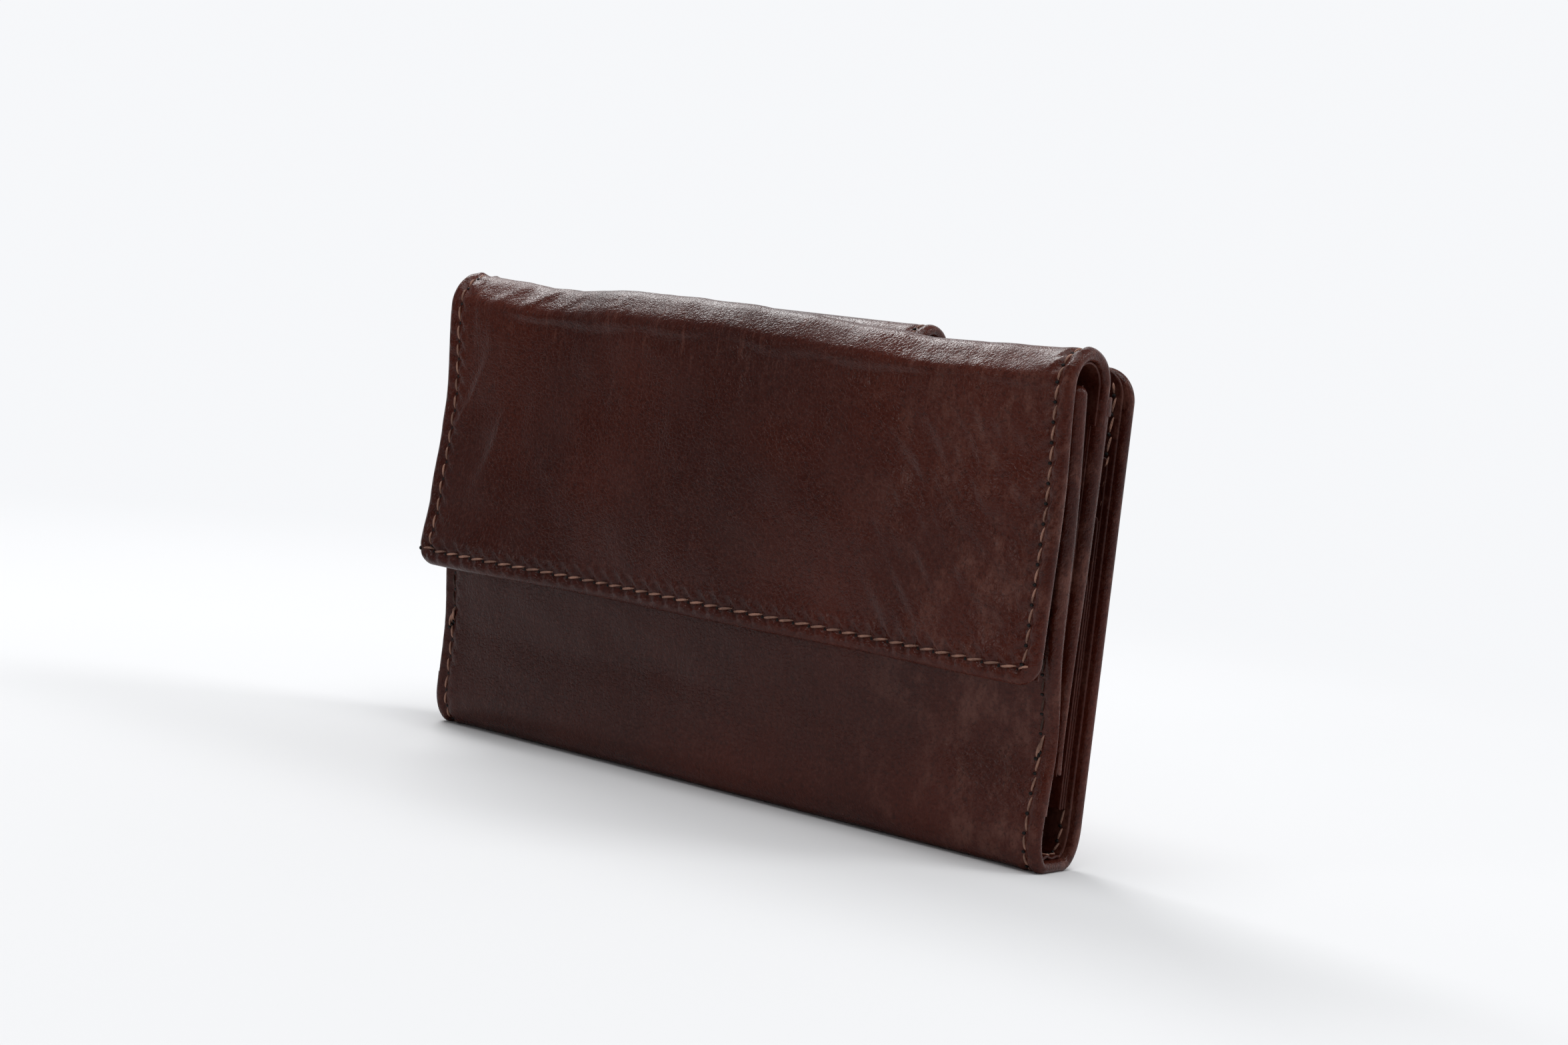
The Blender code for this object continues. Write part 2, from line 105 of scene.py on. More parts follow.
# Sewing: where the seams run, how the leather stands beside them, and how finely that is modelled.
SEAM_INSET = 3.4 * MM
PITCH = 4.0 * MM
STITCH_LIFT = 0.12 * MM
RIM_CROWN = 0.36 * MM
GROOVE = 0.40 * MM
SHOULDER = 0.12 * MM
PUCKER_SLANT = 0.8
SEAM_STEP = 0.6 * MM
SEAM_REACH = 7 * MM


def smooth(value):
    """0 below 0, 1 above 1, and a soft step between."""
    t = np.clip(value, 0.0, 1.0)
    return t * t * (3 - 2 * t)


def past(value, start, width):
    """0 up to the start, 1 from that width past it, and a soft step between."""
    return smooth((value - start) / width)


def ease(value, knots, heights):
    """A soft line through the heights at the knots."""
    knots, heights = np.asarray(knots, float), np.asarray(heights, float)
    k = np.clip(np.searchsorted(knots, value) - 1, 0, len(knots) - 2)
    return heights[k] + (heights[k + 1] - heights[k]) * past(value, knots[k], knots[k + 1] - knots[k])


def hump(value, middle, width):
    """1 at the middle, falling softly to 0 on both sides."""
    return np.exp(-(((value - middle) / width) ** 2))


def waves(a, b, seed, size, count=7, stretch=1.0):
    """Soft unevenness over two directions, of about unit height, with waves of about that size."""
    draw = np.random.default_rng(seed)
    total = 0.0
    for _ in range(count):
        turn, phase = draw.uniform(0, 2 * math.pi, 2)
        rate = 2 * math.pi / (size * draw.uniform(0.7, 1.6))
        total = total + np.sin(rate * (a * math.cos(turn) + b / stretch * math.sin(turn)) + phase)
    return total / math.sqrt(count / 2)


# ---------------------------------------------------------------- how the used wallet has settled

ROLL_WAVE_X = np.array([-85, -71, -55, -33, -8, 14, 34, 50, 65, 79, 85]) * MM
ROLL_WAVE_Z = np.array([1.1, 0.5, -0.2, 1.2, 1.3, 0.7, -0.2, -1.1, -0.7, -0.2, 0.0]) * MM
PINCH_Y, PINCH_Z = -4.2 * MM, SEAM_Z + 2 * MM
PINCH_X, PINCH_RUN = 52 * MM, 33 * MM
LEAN_MIDDLE, LEAN_SIDE = -1.0 * MM, 1.5 * MM


def settle(x, y, z, pinch=True):
    """Where a point of the flat pattern rests: the front leans, the side seams pull in, the top waves."""
    share = smooth((6 * MM - y) / (16 * MM))
    shift = (LEAN_MIDDLE + LEAN_SIDE * x / HALF) * share
    if pinch:
        end = past(x, PINCH_X, PINCH_RUN) + 0.15 * past(-x, PINCH_X, PINCH_RUN)
        in_front = np.where(z > PINCH_Z, 14 * MM, 11 * MM)
        behind = np.where(z > PINCH_Z, 30 * MM, 12 * MM)
        reach = np.where(y < PINCH_Y, in_front, behind)
        pull = 0.5 * end * hump(z, PINCH_Z, reach) * smooth((3.2 * MM - y) / (2.5 * MM))
        shift = shift + (PINCH_Y - y) * pull
    wave = ease(x, ROLL_WAVE_X, ROLL_WAVE_Z)
    rise = wave * past(z, 90 * MM, 12 * MM) * smooth((2 * MM - y) / (3 * MM))
    return x, y + shift, z + rise


# ---------------------------------------------------------------- profiles and sheets


class Profile:
    """A line in the Y-Z plane that a sheet follows, measured by its length from its start."""

    def __init__(self, points):
        points = np.asarray(points, float)
        steps = np.linalg.norm(np.diff(points, axis=0), axis=1)
        keep = np.concatenate([[True], steps > 1e-7])
        self.points = points[keep]
        steps = np.linalg.norm(np.diff(self.points, axis=0), axis=1)
        self.places = np.concatenate([[0.0], np.cumsum(steps)])
        self.length = self.places[-1]

    def at(self, s):
        return np.interp(s, self.places, self.points[:, 0]), np.interp(s, self.places, self.points[:, 1])

    def outward(self, s):
        near, far = np.clip(s - 0.4 * MM, 0, self.length), np.clip(s + 0.4 * MM, 0, self.length)
        ya, za = self.at(near)
        yb, zb = self.at(far)
        size = np.maximum(np.hypot(yb - ya, zb - za), 1e-9)
        return (zb - za) / size, -(yb - ya) / size


def line(start, end, count=2):
    return np.linspace(start, end, count)


def arc(centre, radii, start, end, count=40):
    angles = np.radians(np.linspace(start, end, count))
    return np.stack([centre[0] + radii[0] * np.cos(angles), centre[1] + radii[1] * np.sin(angles)], axis=1)


def curve_through(points, count=80):
    """A soft curve through a few points of the front face."""
    points = np.asarray(points, float)
    z = np.linspace(points[0, 1], points[-1, 1], count)
    order = np.argsort(points[:, 1])
    y = np.interp(z, points[order, 1], points[order, 0])
    for _ in range(30):
        y[1:-1] = (y[:-2] + 2 * y[1:-1] + y[2:]) / 4
    return np.stack([y, z], axis=1)


class Sheet:
    """A panel on a profile: u is a place in X, s one along the profile, and lift a height over its face.

    shape moves the whole sheet, relief only its face. drop is how far its face lies behind the profile.
    A flush sheet meets the next one at its start, so that rim isn't rounded.
    """

    def __init__(
        self, profile, low, high, side, thickness, shape=None, relief=None, corner_start=0.0, corner_end=0.0,
        pinch=True, drop=0.0, start=0.0, flush=False,
    ):
        self.profile, self.low, self.high, self.side = profile, low, high, side
        self.thickness, self.shape, self.relief = thickness, shape, relief
        self.corner_start, self.corner_end = corner_start, corner_end
        self.pinch, self.drop, self.flush = pinch, drop, flush
        self.start, self.end = start, profile.length

    def rounded(self, u, s):
        """The place of (u, s) once the outline's corners are rounded, ring by ring."""
        u, s = np.array(u, float), np.array(s, float)
        for radius, at_end in ((self.corner_start, False), (self.corner_end, True)):
            if not radius:
                continue
            for right in (False, True):
                a = (u - (self.high - radius) if right else (self.low + radius) - u) / radius
                b = (s - (self.end - radius) if at_end else self.start + radius - s) / radius
                inside = (a > 0) & (b > 0)
                a, b = np.where(inside, a, 1.0), np.where(inside, b, 1.0)
                ring = np.maximum(a, b)
                angle = np.where(a >= b, math.pi / 4 * b / a, math.pi / 2 - math.pi / 4 * a / b)
                new_a, new_b = ring * np.cos(angle) * radius, ring * np.sin(angle) * radius
                u = np.where(inside, self.high - radius + new_a if right else self.low + radius - new_a, u)
                s = np.where(inside, self.end - radius + new_b if at_end else self.start + radius - new_b, s)
        return u, s

    def from_rim(self, u, s):
        """How far (u, s) lies in from the nearest rim."""
        edge = np.minimum(u - self.low, self.high - u)
        edge = np.minimum(edge, self.end - s)
        return np.maximum(edge if self.flush else np.minimum(edge, s - self.start), 0.0)

    def points(self, u, s, lift=0.0, inner=False):
        """The places in space of (u, s), on the sheet's face or on its inner side."""
        u, s = np.broadcast_arrays(np.asarray(u, float), np.asarray(s, float))
        round_u, round_s = self.rounded(u, s)
        y, z = self.profile.at(round_s)
        out_y, out_z = self.profile.outward(round_s)
        edge, radius = self.from_rim(u, s), self.thickness / 2
        nose = radius - np.sqrt(radius**2 - (radius - np.minimum(edge, radius)) ** 2)
        rise = lift - self.drop + (self.shape(u, s) if self.shape else 0.0)
        if inner:
            rise = rise - self.thickness + nose
        else:
            rise = rise - nose + (self.relief(u, s) * smooth(edge / (1.2 * MM)) if self.relief else 0.0)
        place = settle(round_u, y + self.side * out_y * rise, z + self.side * out_z * rise, self.pinch)
        return np.stack(np.broadcast_arrays(*place), axis=-1)

    def outward(self, u, s):
        """A short step out of the face at (u, s)."""
        return self.points(u, s, 1 * MM) - self.points(u, s)


def spread(low, high, step, radius, sewn=(False, False), flush=False):
    """Places along a side: a few round each rim, closer ones beside a sewn edge, and even ones between."""
    nose = radius * (1 - np.cos(np.radians([0, 22, 42, 60, 76, 90])))
    near = low + (np.zeros(1) if flush else nose)
    far = (high - nose)[::-1]
    closer = np.arange(SEAM_STEP, SEAM_REACH, SEAM_STEP)
    if sewn[0]:
        near = np.concatenate([near, near[-1] + closer])
    if sewn[1]:
        far = np.concatenate([(far[0] - closer)[::-1], far])
    count = max(1, int(round((far[0] - near[-1]) / step)))
    return np.concatenate([near, np.linspace(near[-1], far[0], count + 1)[1:-1], far])


def only(*pieces):
    """Nothing is selected but these pieces, and the first one is active."""
    bpy.ops.object.select_all(action="DESELECT")
    for piece in pieces:
        piece.select_set(True)
    bpy.context.view_layer.objects.active = pieces[0]


def apply_modifier(piece, kind, **settings):
    only(piece)
    modifier = piece.modifiers.new(kind.title(), kind)
    for name, value in settings.items():
        setattr(modifier, name, value)
    bpy.ops.object.modifier_apply(modifier=modifier.name)


def add_grid(columns, rows):
    """A flat grid from -1 to 1 in X and Y."""
    bpy.ops.object.select_all(action="DESELECT")
    bpy.ops.mesh.primitive_grid_add(
        x_subdivisions=columns, y_subdivisions=rows, size=2, location=(0, 0, 0)
    )
    return bpy.context.object


def add_disc(sides, radius):
    bpy.ops.object.select_all(action="DESELECT")
    bpy.ops.mesh.primitive_circle_add(vertices=sides, radius=radius, fill_type="NGON", location=(0, 0, 0))
    return bpy.context.object


def soften(piece, width, angle):
    """Rounds the edges that are sharper than that angle in degrees."""
    sharp = math.radians(angle)
    apply_modifier(piece, "BEVEL", width=width, segments=2, limit_method="ANGLE", angle_limit=sharp)


def lay_face(sheet, across, along, inner):
    """One side of a sheet: a grid laid on it, facing away from the sheet's middle."""
    columns, rows = len(across) - 1, len(along) - 1
    face = add_grid(columns, rows)
    mesh = face.data
    flat = np.empty(len(mesh.vertices) * 3)
    mesh.vertices.foreach_get("co", flat)
    flat = flat.reshape(-1, 3)
    i = np.rint((flat[:, 0] + 1) / 2 * columns).astype(int)
    j = np.rint((flat[:, 1] + 1) / 2 * rows).astype(int)
    u, s = np.asarray(across)[i], np.asarray(along)[j]
    mesh.vertices.foreach_set("co", sheet.points(u, s, 0.0, inner).ravel())
    corner = np.empty(len(mesh.loops), int)
    mesh.loops.foreach_get("vertex_index", corner)
    mesh.uv_layers.active.data.foreach_set("uv", np.stack([u[corner], s[corner]], axis=1).ravel())
    mesh.update()
    middle = mesh.polygons[(rows // 2) * columns + columns // 2]
    k = middle.vertices[0]
    out = sheet.outward(u[k], s[k])
    if (np.dot(middle.normal, out) < 0) != inner:
        only(face)
        bpy.ops.object.mode_set(mode="EDIT")
        bpy.ops.mesh.select_all(action="SELECT")
        bpy.ops.mesh.flip_normals()
        bpy.ops.object.mode_set(mode="OBJECT")
    return face


def lay_sheet(name, sheet, across, along, material):
    """The two sides of a sheet, joined round its rim."""
    outer, inner = lay_face(sheet, across, along, False), lay_face(sheet, across, along, True)
    only(outer, inner)
    bpy.ops.object.join()
    piece = bpy.context.object
    piece.name = piece.data.name = name
    bpy.ops.object.mode_set(mode="EDIT")
    bpy.ops.mesh.select_all(action="SELECT")
    bpy.ops.mesh.remove_doubles(threshold=1e-6)
    if sheet.flush:
        bpy.ops.mesh.select_all(action="DESELECT")
        bpy.ops.mesh.select_mode(type="EDGE")
        bpy.ops.mesh.select_non_manifold()
        bpy.ops.mesh.edge_face_add()
    bpy.ops.object.mode_set(mode="OBJECT")
    smooth_and_dress(piece, 60, material)
    return piece


def dress(piece, material):
    piece.data.materials.clear()
    piece.data.materials.append(material)


def smooth_and_dress(piece, angle, material):
    """Smooth shading up to that angle in degrees, and the piece's material."""
    only(piece)
    bpy.ops.object.shade_smooth_by_angle(angle=math.radians(angle))
    dress(piece, material)


# ---------------------------------------------------------------- leather relief

def seam_relief(edge, along, pucker=0.30 * MM):
    """How leather stands beside a sewn edge: a rolled rim, a groove for the thread, a pucker at a stitch."""
    rim = RIM_CROWN * np.sin(math.pi * np.clip(edge / SEAM_INSET, 0, 1)) ** 2
    sunk = GROOVE * hump(edge, SEAM_INSET, 0.75 * MM)
    shoulder = SHOULDER * hump(edge, SEAM_INSET + 2.3 * MM, 1.5 * MM)
    phase = 2 * math.pi * (along + PUCKER_SLANT * (edge - SEAM_INSET)) / PITCH
    beside = hump(edge, SEAM_INSET + 1.4 * MM, 1.1 * MM) + 0.8 * hump(edge, SEAM_INSET - 1.2 * MM, 0.8 * MM)
    gather = pucker * np.cos(phase) * (beside + 0.3 * hump(edge, SEAM_INSET, 0.6 * MM))
    return rim - sunk + shoulder - gather


def off_rim(distance):
    """A seam's relief fades out where it meets the next rim."""
    return past(distance, 1.5 * MM, 3 * MM)


FLAP_FOOT = FLAP_LOW[2]
FLAP_RISE = ROLL_Z - FLAP_FOOT
FLAP_PROFILE = Profile(np.concatenate([
    line((FLAP_FACE, FLAP_FOOT), (FLAP_FACE, ROLL_Z)),
    arc((ROLL_Y, ROLL_Z), (ROLL_RADIUS, ROLL_RADIUS), 180, 0),
    line((WALL_FACE, ROLL_Z), (WALL_FACE, 90 * MM)),
]))
CURL_Z = (np.array([38, 42, 54, 70, 77, 99]) * MM) - FLAP_FOOT
CURL_LEFT = np.array([2.5, 2.1, 0.5, -0.9, -1.3, 0.2]) * MM
SAG_Z = (np.array([38, 42, 75, 97]) * MM) - FLAP_FOOT
SAG_RIGHT = np.array([-0.2, -0.3, -1.2, 0.0]) * MM


def flap_hang(u, s):
    """How the flap hangs: its left corner lifts, it dips below the roll, and the roll is pressed flatter."""
    left = ease(s, CURL_Z, CURL_LEFT) * past(-u, 28 * MM, 57 * MM)
    right = ease(s, SAG_Z, SAG_RIGHT) * past(u, 20 * MM, 60 * MM)
    face = 1 - past(s, FLAP_RISE, 6 * MM)
    turn = np.clip((s - FLAP_RISE) / ROLL_RADIUS, 0, math.pi)
    middle = smooth((HALF - np.abs(u)) / (14 * MM))
    pressed = -0.75 * MM * np.sin(2 * turn) ** 2 * (turn < math.pi / 2) * middle
    crease = 0.32 * MM * hump(s, FLAP_RISE + 1.2 * MM, 2.0 * MM) * middle
    broad = 0.34 * MM * waves(u, s, 11, 46 * MM) * smooth((HALF - np.abs(u)) / (20 * MM))
    return (left + right) * face + pressed + crease + broad * (0.5 + 0.5 * face)


def flap_relief(u, s):
    """The flap's face: its seams, two ridges from the lifted corner, creases at the roll and the right."""
    edge = HALF - np.abs(u)
    tucked = 1 - past(s, 82 * MM, 4 * MM)
    seams = seam_relief(edge, s) * off_rim(s) * tucked + seam_relief(s, u, pucker=0.56 * MM) * off_rim(edge)
    ridge_a = 0.50 * MM * hump(u - 0.49 * (s - 39 * MM), -76 * MM, 1.5 * MM) * hump(s, 39 * MM, 10 * MM)
    ridge_b = 0.40 * MM * hump(u - 0.33 * (s - 28 * MM), -67.5 * MM, 1.8 * MM) * hump(s, 28 * MM, 10 * MM)

    streaks = 0.05 * MM * waves(u, s, 5, 5 * MM, 9, 7.0) * hump(s, FLAP_RISE - 6 * MM, 16 * MM)
    small = 0.05 * MM * waves(u, s, 31, 11 * MM, 9)
    roll = past(s, FLAP_RISE, 3 * MM) * (1 - past(s, 80 * MM, 4 * MM))
    oblique = 0.09 * MM * waves(u - 0.8 * s, 0.2 * s, 23, 4.5 * MM, 6, 4.0) * roll
    oblique = oblique * hump(u, -70 * MM, 26 * MM)
    across = 0.87 * u + 0.5 * s
    down = 0.5 * u - 0.87 * s
    pulled = past(u, 22 * MM, 38 * MM) * smooth(s / (8 * MM)) * (1 - past(s, FLAP_RISE - 12 * MM, 10 * MM))
    coarse = 0.13 * MM * waves(across, down, 43, 4.2 * MM, 14, 4.0)
    crisp = 0.05 * MM * waves(across, down, 47, 1.9 * MM, 16, 3.0)
    fold = 0.30 * MM * hump(s + 0.7 * MM * waves(u, 0 * s, 41, 30 * MM), FLAP_RISE - 1.2 * MM, 1.3 * MM)
    inner = past(edge, 5 * MM, 4 * MM)
    return seams + ridge_a + ridge_b + (streaks + small + oblique + (coarse + crisp) * pulled - fold) * inner


FRONT_CURVE = MM * np.array(
    [(-8.5, 23), (-8.5, 25), (-10.2, 38), (-10.2, 65.5), (-11.0, 78.5), (-12.8, 97.5)]
)
FRONT_PROFILE = Profile(np.concatenate([
    line((FRONT_FACE, SPLIT_Z), (FRONT_FACE, SEAM_Z - 2 * MM)),
    curve_through(FRONT_CURVE)[1:],
]))


def front_relief(u, s):
    edge = HALF - np.abs(u)
    seam = seam_relief(edge, s, pucker=0.18 * MM)
    broad = 0.18 * MM * waves(u, s, 17, 55 * MM) * smooth(s / (12 * MM)) * past(edge, 2 * MM, 14 * MM)
    small = 0.04 * MM * waves(u, s, 37, 12 * MM, 9) * smooth(s / (6 * MM))
    return seam + broad + small


OUTER_PROFILE = Profile(np.concatenate([
    line((FRONT_FACE, SPLIT_Z), (FRONT_FACE, FOOT_Z)),
    arc((-FOOT_FLAT, FOOT_Z), (-FOOT_FLAT - FRONT_FACE, FOOT_Z), 180, 270),
    arc((FOOT_FLAT, FOOT_Z), (BACK_FACE - FOOT_FLAT, FOOT_Z), 270, 360),
    line((BACK_FACE, FOOT_Z), (BACK_FACE, BACK_HIGH[2])),
]))


def outer_relief(u, s):
    edge = HALF - np.abs(u)
    top = OUTER_PROFILE.length - s
    seam = seam_relief(edge, s, pucker=0.18 * MM) * off_rim(top)
    head = seam_relief(top, u, pucker=0.2 * MM) * off_rim(edge)
    broad = 0.25 * MM * waves(u, s, 19, 55 * MM) * past(s, 30 * MM, 20 * MM) * past(edge, 2 * MM, 14 * MM)
    return seam + head + broad


# ---------------------------------------------------------------- nodes

def link_noise(tree, coordinates, scale, detail=3.0, roughness=0.5, stretch=(1, 1, 1), place=(0, 0, 0)):
    mapping = tree.nodes.new("ShaderNodeMapping")
    mapping.inputs["Scale"].default_value = stretch
    mapping.inputs["Location"].default_value = place
    tree.links.new(coordinates, mapping.inputs["Vector"])
    noise = tree.nodes.new("ShaderNodeTexNoise")
    noise.inputs["Scale"].default_value = scale
    noise.inputs["Detail"].default_value = detail
    noise.inputs["Roughness"].default_value = roughness
    tree.links.new(mapping.outputs["Vector"], noise.inputs["Vector"])
    return noise.outputs["Fac"]


def link_range(tree, value, low, high, to_low=0.0, to_high=1.0):
    node = tree.nodes.new("ShaderNodeMapRange")
    node.interpolation_type = "SMOOTHSTEP"
    for name, number in (("From Min", low), ("From Max", high), ("To Min", to_low), ("To Max", to_high)):
        node.inputs[name].default_value = number
    tree.links.new(value, node.inputs["Value"])
    return node.outputs["Result"]


def link_mix(tree, factor, first, second):
    node = tree.nodes.new("ShaderNodeMix")
    node.data_type = "RGBA"
    tree.links.new(factor, node.inputs["Factor"])
    for colour, place in ((first, 6), (second, 7)):
        if hasattr(colour, "links"):
            tree.links.new(colour, node.inputs[place])
        else:
            node.inputs[place].default_value = (*colour, 1)
    return node.outputs[2]


def link_product(tree, first, second):
    node = tree.nodes.new("ShaderNodeMath")
    node.operation = "MULTIPLY"
    tree.links.new(first, node.inputs[0])
    tree.links.new(second, node.inputs[1])
    return node.outputs["Value"]


def link_bump(tree, height, strength, distance, normal=None):
    node = tree.nodes.new("ShaderNodeBump")
    node.inputs["Strength"].default_value = strength
    node.inputs["Distance"].default_value = distance
    tree.links.new(height, node.inputs["Height"])
    if normal is not None:
        tree.links.new(normal, node.inputs["Normal"])
    return node.outputs["Normal"]


def new_material(name):
    material = bpy.data.materials.new(name)
    material.use_nodes = True
    tree = material.node_tree
    shader = tree.nodes["Principled BSDF"]
    coordinates = tree.nodes.new("ShaderNodeTexCoord").outputs["Object"]
    return material, tree, shader, coordinates


# Noise sizes. The scuff size is that of the right-side mottling, partly painted sheen; the streak size that
# of the painted highlight streaks.
PATCH_SCALE, SCUFF_SHEEN_SCALE, WRINKLE_SCALE = 13, 130, 210
FINE_SCALE, PORE_SCALE, STREAK_HIGHLIGHT_SCALE = 1300, 1100, 1000


def shade(colour, share):
    """The colour made darker, or paler where the share is over 1."""
    return tuple(channel * share for channel in colour)


def leather_material(name, deep, warm, worn_and_sheen, gloss, grain, streak_highlights=False):
    """Aniline leather: a deep brown with redder patches, fine grain, soft creases, and lighter rubbed patches
    partly painted as sheen.
    """
    material, tree, shader, place = new_material(name)
    patches = link_noise(tree, place, PATCH_SCALE, 3, 0.5, (1, 1, 0.8))
    colour = link_mix(tree, link_range(tree, patches, 0.38, 0.64), deep, warm)
    split = tree.nodes.new("ShaderNodeSeparateXYZ")
    tree.links.new(place, split.inputs["Vector"])
    # Lighter mottling toward the right (+X): partly rubbed wear, partly a painted sheen where that side
    # catches the light.
    toward_right = link_range(tree, split.outputs["X"], 0.025, 0.075, 0.06, 0.85)
    scuff_sheen_noise = link_noise(tree, place, SCUFF_SHEEN_SCALE, 9, 0.76, (1, 1, 0.6), (0.3, 0, 0))
    scuff_and_sheen_share = link_product(tree, link_range(tree, scuff_sheen_noise, 0.47, 0.66), toward_right)
    colour = link_mix(tree, scuff_and_sheen_share, colour, worn_and_sheen)
    # Painted highlights: pale vertical streaks just below the flap's roll, standing in for light caught by
    # fine scratches there.
    if streak_highlights:
        below_roll = link_range(tree, split.outputs["Z"], 0.084, 0.099)
        streaks = link_noise(tree, place, STREAK_HIGHLIGHT_SCALE, 3, 0.6, (1, 0.2, 0.1))
        streak_highlight_share = link_product(tree, link_range(tree, streaks, 0.55, 0.72, 0, 0.35), below_roll)
        colour = link_mix(tree, streak_highlight_share, colour, shade(worn_and_sheen, 1.25))
    fine = link_noise(tree, place, FINE_SCALE, 3, 0.65)
    # Lighter flecks of the grain, which are partly grain tone and partly a painted sparkle.
    colour = link_mix(tree, link_range(tree, fine, 0.52, 0.68, 0.0, 0.22), colour, worn_and_sheen)
    colour = link_mix(tree, link_range(tree, fine, 0.34, 0.48, 0.45, 0.0), colour, shade(deep, 0.45))
    tree.links.new(colour, shader.inputs["Base Color"])
    rough = link_range(tree, link_noise(tree, place, 60, 4, 0.6), 0.3, 0.7, gloss - 0.08, gloss + 0.08)
    tree.links.new(rough, shader.inputs["Roughness"])
    pores = tree.nodes.new("ShaderNodeTexVoronoi")
    pores.feature = "DISTANCE_TO_EDGE"
    pores.inputs["Scale"].default_value = PORE_SCALE
    tree.links.new(place, pores.inputs["Vector"])
    cell = link_range(tree, pores.outputs["Distance"], 0.0, 0.18)
    normal = link_bump(tree, cell, 0.26 * grain, 0.00012)
    normal = link_bump(tree, fine, 0.36 * grain, 0.00022, normal)
    wrinkle = link_noise(tree, place, WRINKLE_SCALE, 5, 0.62, (1, 1, 0.55))
    normal = link_bump(tree, wrinkle, 0.26 * grain, 0.0008, normal)
    tree.links.new(normal, shader.inputs["Normal"])
    shader.inputs["Specular IOR Level"].default_value = 0.18
    return material


def thread_material(name, light, dark):
    material, tree, shader, place = new_material(name)
    tone = link_range(tree, link_noise(tree, place, 420, 2, 0.5), 0.35, 0.65)
    tree.links.new(link_mix(tree, tone, dark, light), shader.inputs["Base Color"])
    twist = tree.nodes.new("ShaderNodeTexWave")
    twist.bands_direction = "DIAGONAL"
    twist.inputs["Scale"].default_value = 900
    tree.links.new(place, twist.inputs["Vector"])
    tree.links.new(link_bump(tree, twist.outputs["Fac"], 0.35, 0.0001), shader.inputs["Normal"])
    shader.inputs["Roughness"].default_value = 0.6
    shader.inputs["Specular IOR Level"].default_value = 0.3
    return material


def brass_material(name, colour):
    material, tree, shader, place = new_material(name)
    tone = link_range(tree, link_noise(tree, place, 260, 4, 0.6), 0.35, 0.7)
    tree.links.new(link_mix(tree, tone, colour, shade(colour, 0.72)), shader.inputs["Base Color"])
    rough = link_range(tree, link_noise(tree, place, 700, 3, 0.6), 0.3, 0.7, 0.22, 0.4)
    tree.links.new(rough, shader.inputs["Roughness"])
    shader.inputs["Metallic"].default_value = 1.0
    return material


def film_material(name):
    material, tree, shader, place = new_material(name)
    haze = link_range(tree, link_noise(tree, place, 60, 3, 0.5), 0.3, 0.7, 0.08, 0.2)
    tree.links.new(haze, shader.inputs["Roughness"])
    tree.links.new(link_bump(tree, link_noise(tree, place, 30, 2, 0.5), 0.1, 0.001), shader.inputs["Normal"])
    tint = link_mix(tree, link_noise(tree, place, 40, 2, 0.5), (0.93, 0.94, 0.95), (0.86, 0.88, 0.9))
    tree.links.new(tint, shader.inputs["Base Color"])
    shader.inputs["IOR"].default_value = 1.45
    shader.inputs["Alpha"].default_value = 0.22
    return material


def materials():
    """The wallet's materials, made once from the panel's colours."""
    looks = bpy.context.scene.wallet_leather
    sewing = bpy.context.scene.wallet_sewing
    have = bpy.data.materials
    if "wallet_leather" not in have:
        tones = (looks.deep[:], looks.warm[:], looks.worn_and_sheen[:])
        leather_material("wallet_leather", *tones, looks.roughness, looks.grain)
        # The flap's copy, with painted highlight streaks below its roll.
        leather_material("flap_leather_streak_highlights", *tones, looks.roughness, looks.grain, True)
        soft = [shade(colour, 0.85) for colour in tones]
        leather_material("wallet_lining", *soft, looks.roughness + 0.08, looks.grain * 0.7)
        thread_material("copper_thread", sewing.thread[:], shade(sewing.thread, 0.55))
        thread_material("brown_thread", sewing.dark_thread[:], shade(sewing.dark_thread, 0.5))
        # Near-black blobs at the awl holes: painted shade standing in for the dark inside each hole.
        thread_material("awl_hole_shade", (0.006, 0.003, 0.0025), (0.003, 0.002, 0.002))
        brass_material("snap_brass", sewing.brass[:])
        film_material("window_film")
    return have


# ---------------------------------------------------------------- stitches

def stitch_shape():
    """One stitch, a lens of thread lying along X, as points and faces of unit length."""
    bpy.ops.object.select_all(action="DESELECT")
    bpy.ops.mesh.primitive_uv_sphere_add(segments=8, ring_count=7, radius=1, location=(0, 0, 0))
    thread = bpy.context.object
    bpy.ops.object.mode_set(mode="EDIT")
    bpy.ops.mesh.select_all(action="SELECT")
    bpy.ops.transform.rotate(value=math.radians(90), orient_axis="Y", center_override=(0, 0, 0))
    bpy.ops.mesh.normals_make_consistent(inside=False)
    bpy.ops.object.mode_set(mode="OBJECT")
    points = np.array([vertex.co[:] for vertex in thread.data.vertices])
    faces = [tuple(face.vertices) for face in thread.data.polygons]
    points[:, 1:] *= 1.12
    bpy.data.objects.remove(thread)
    return points, faces


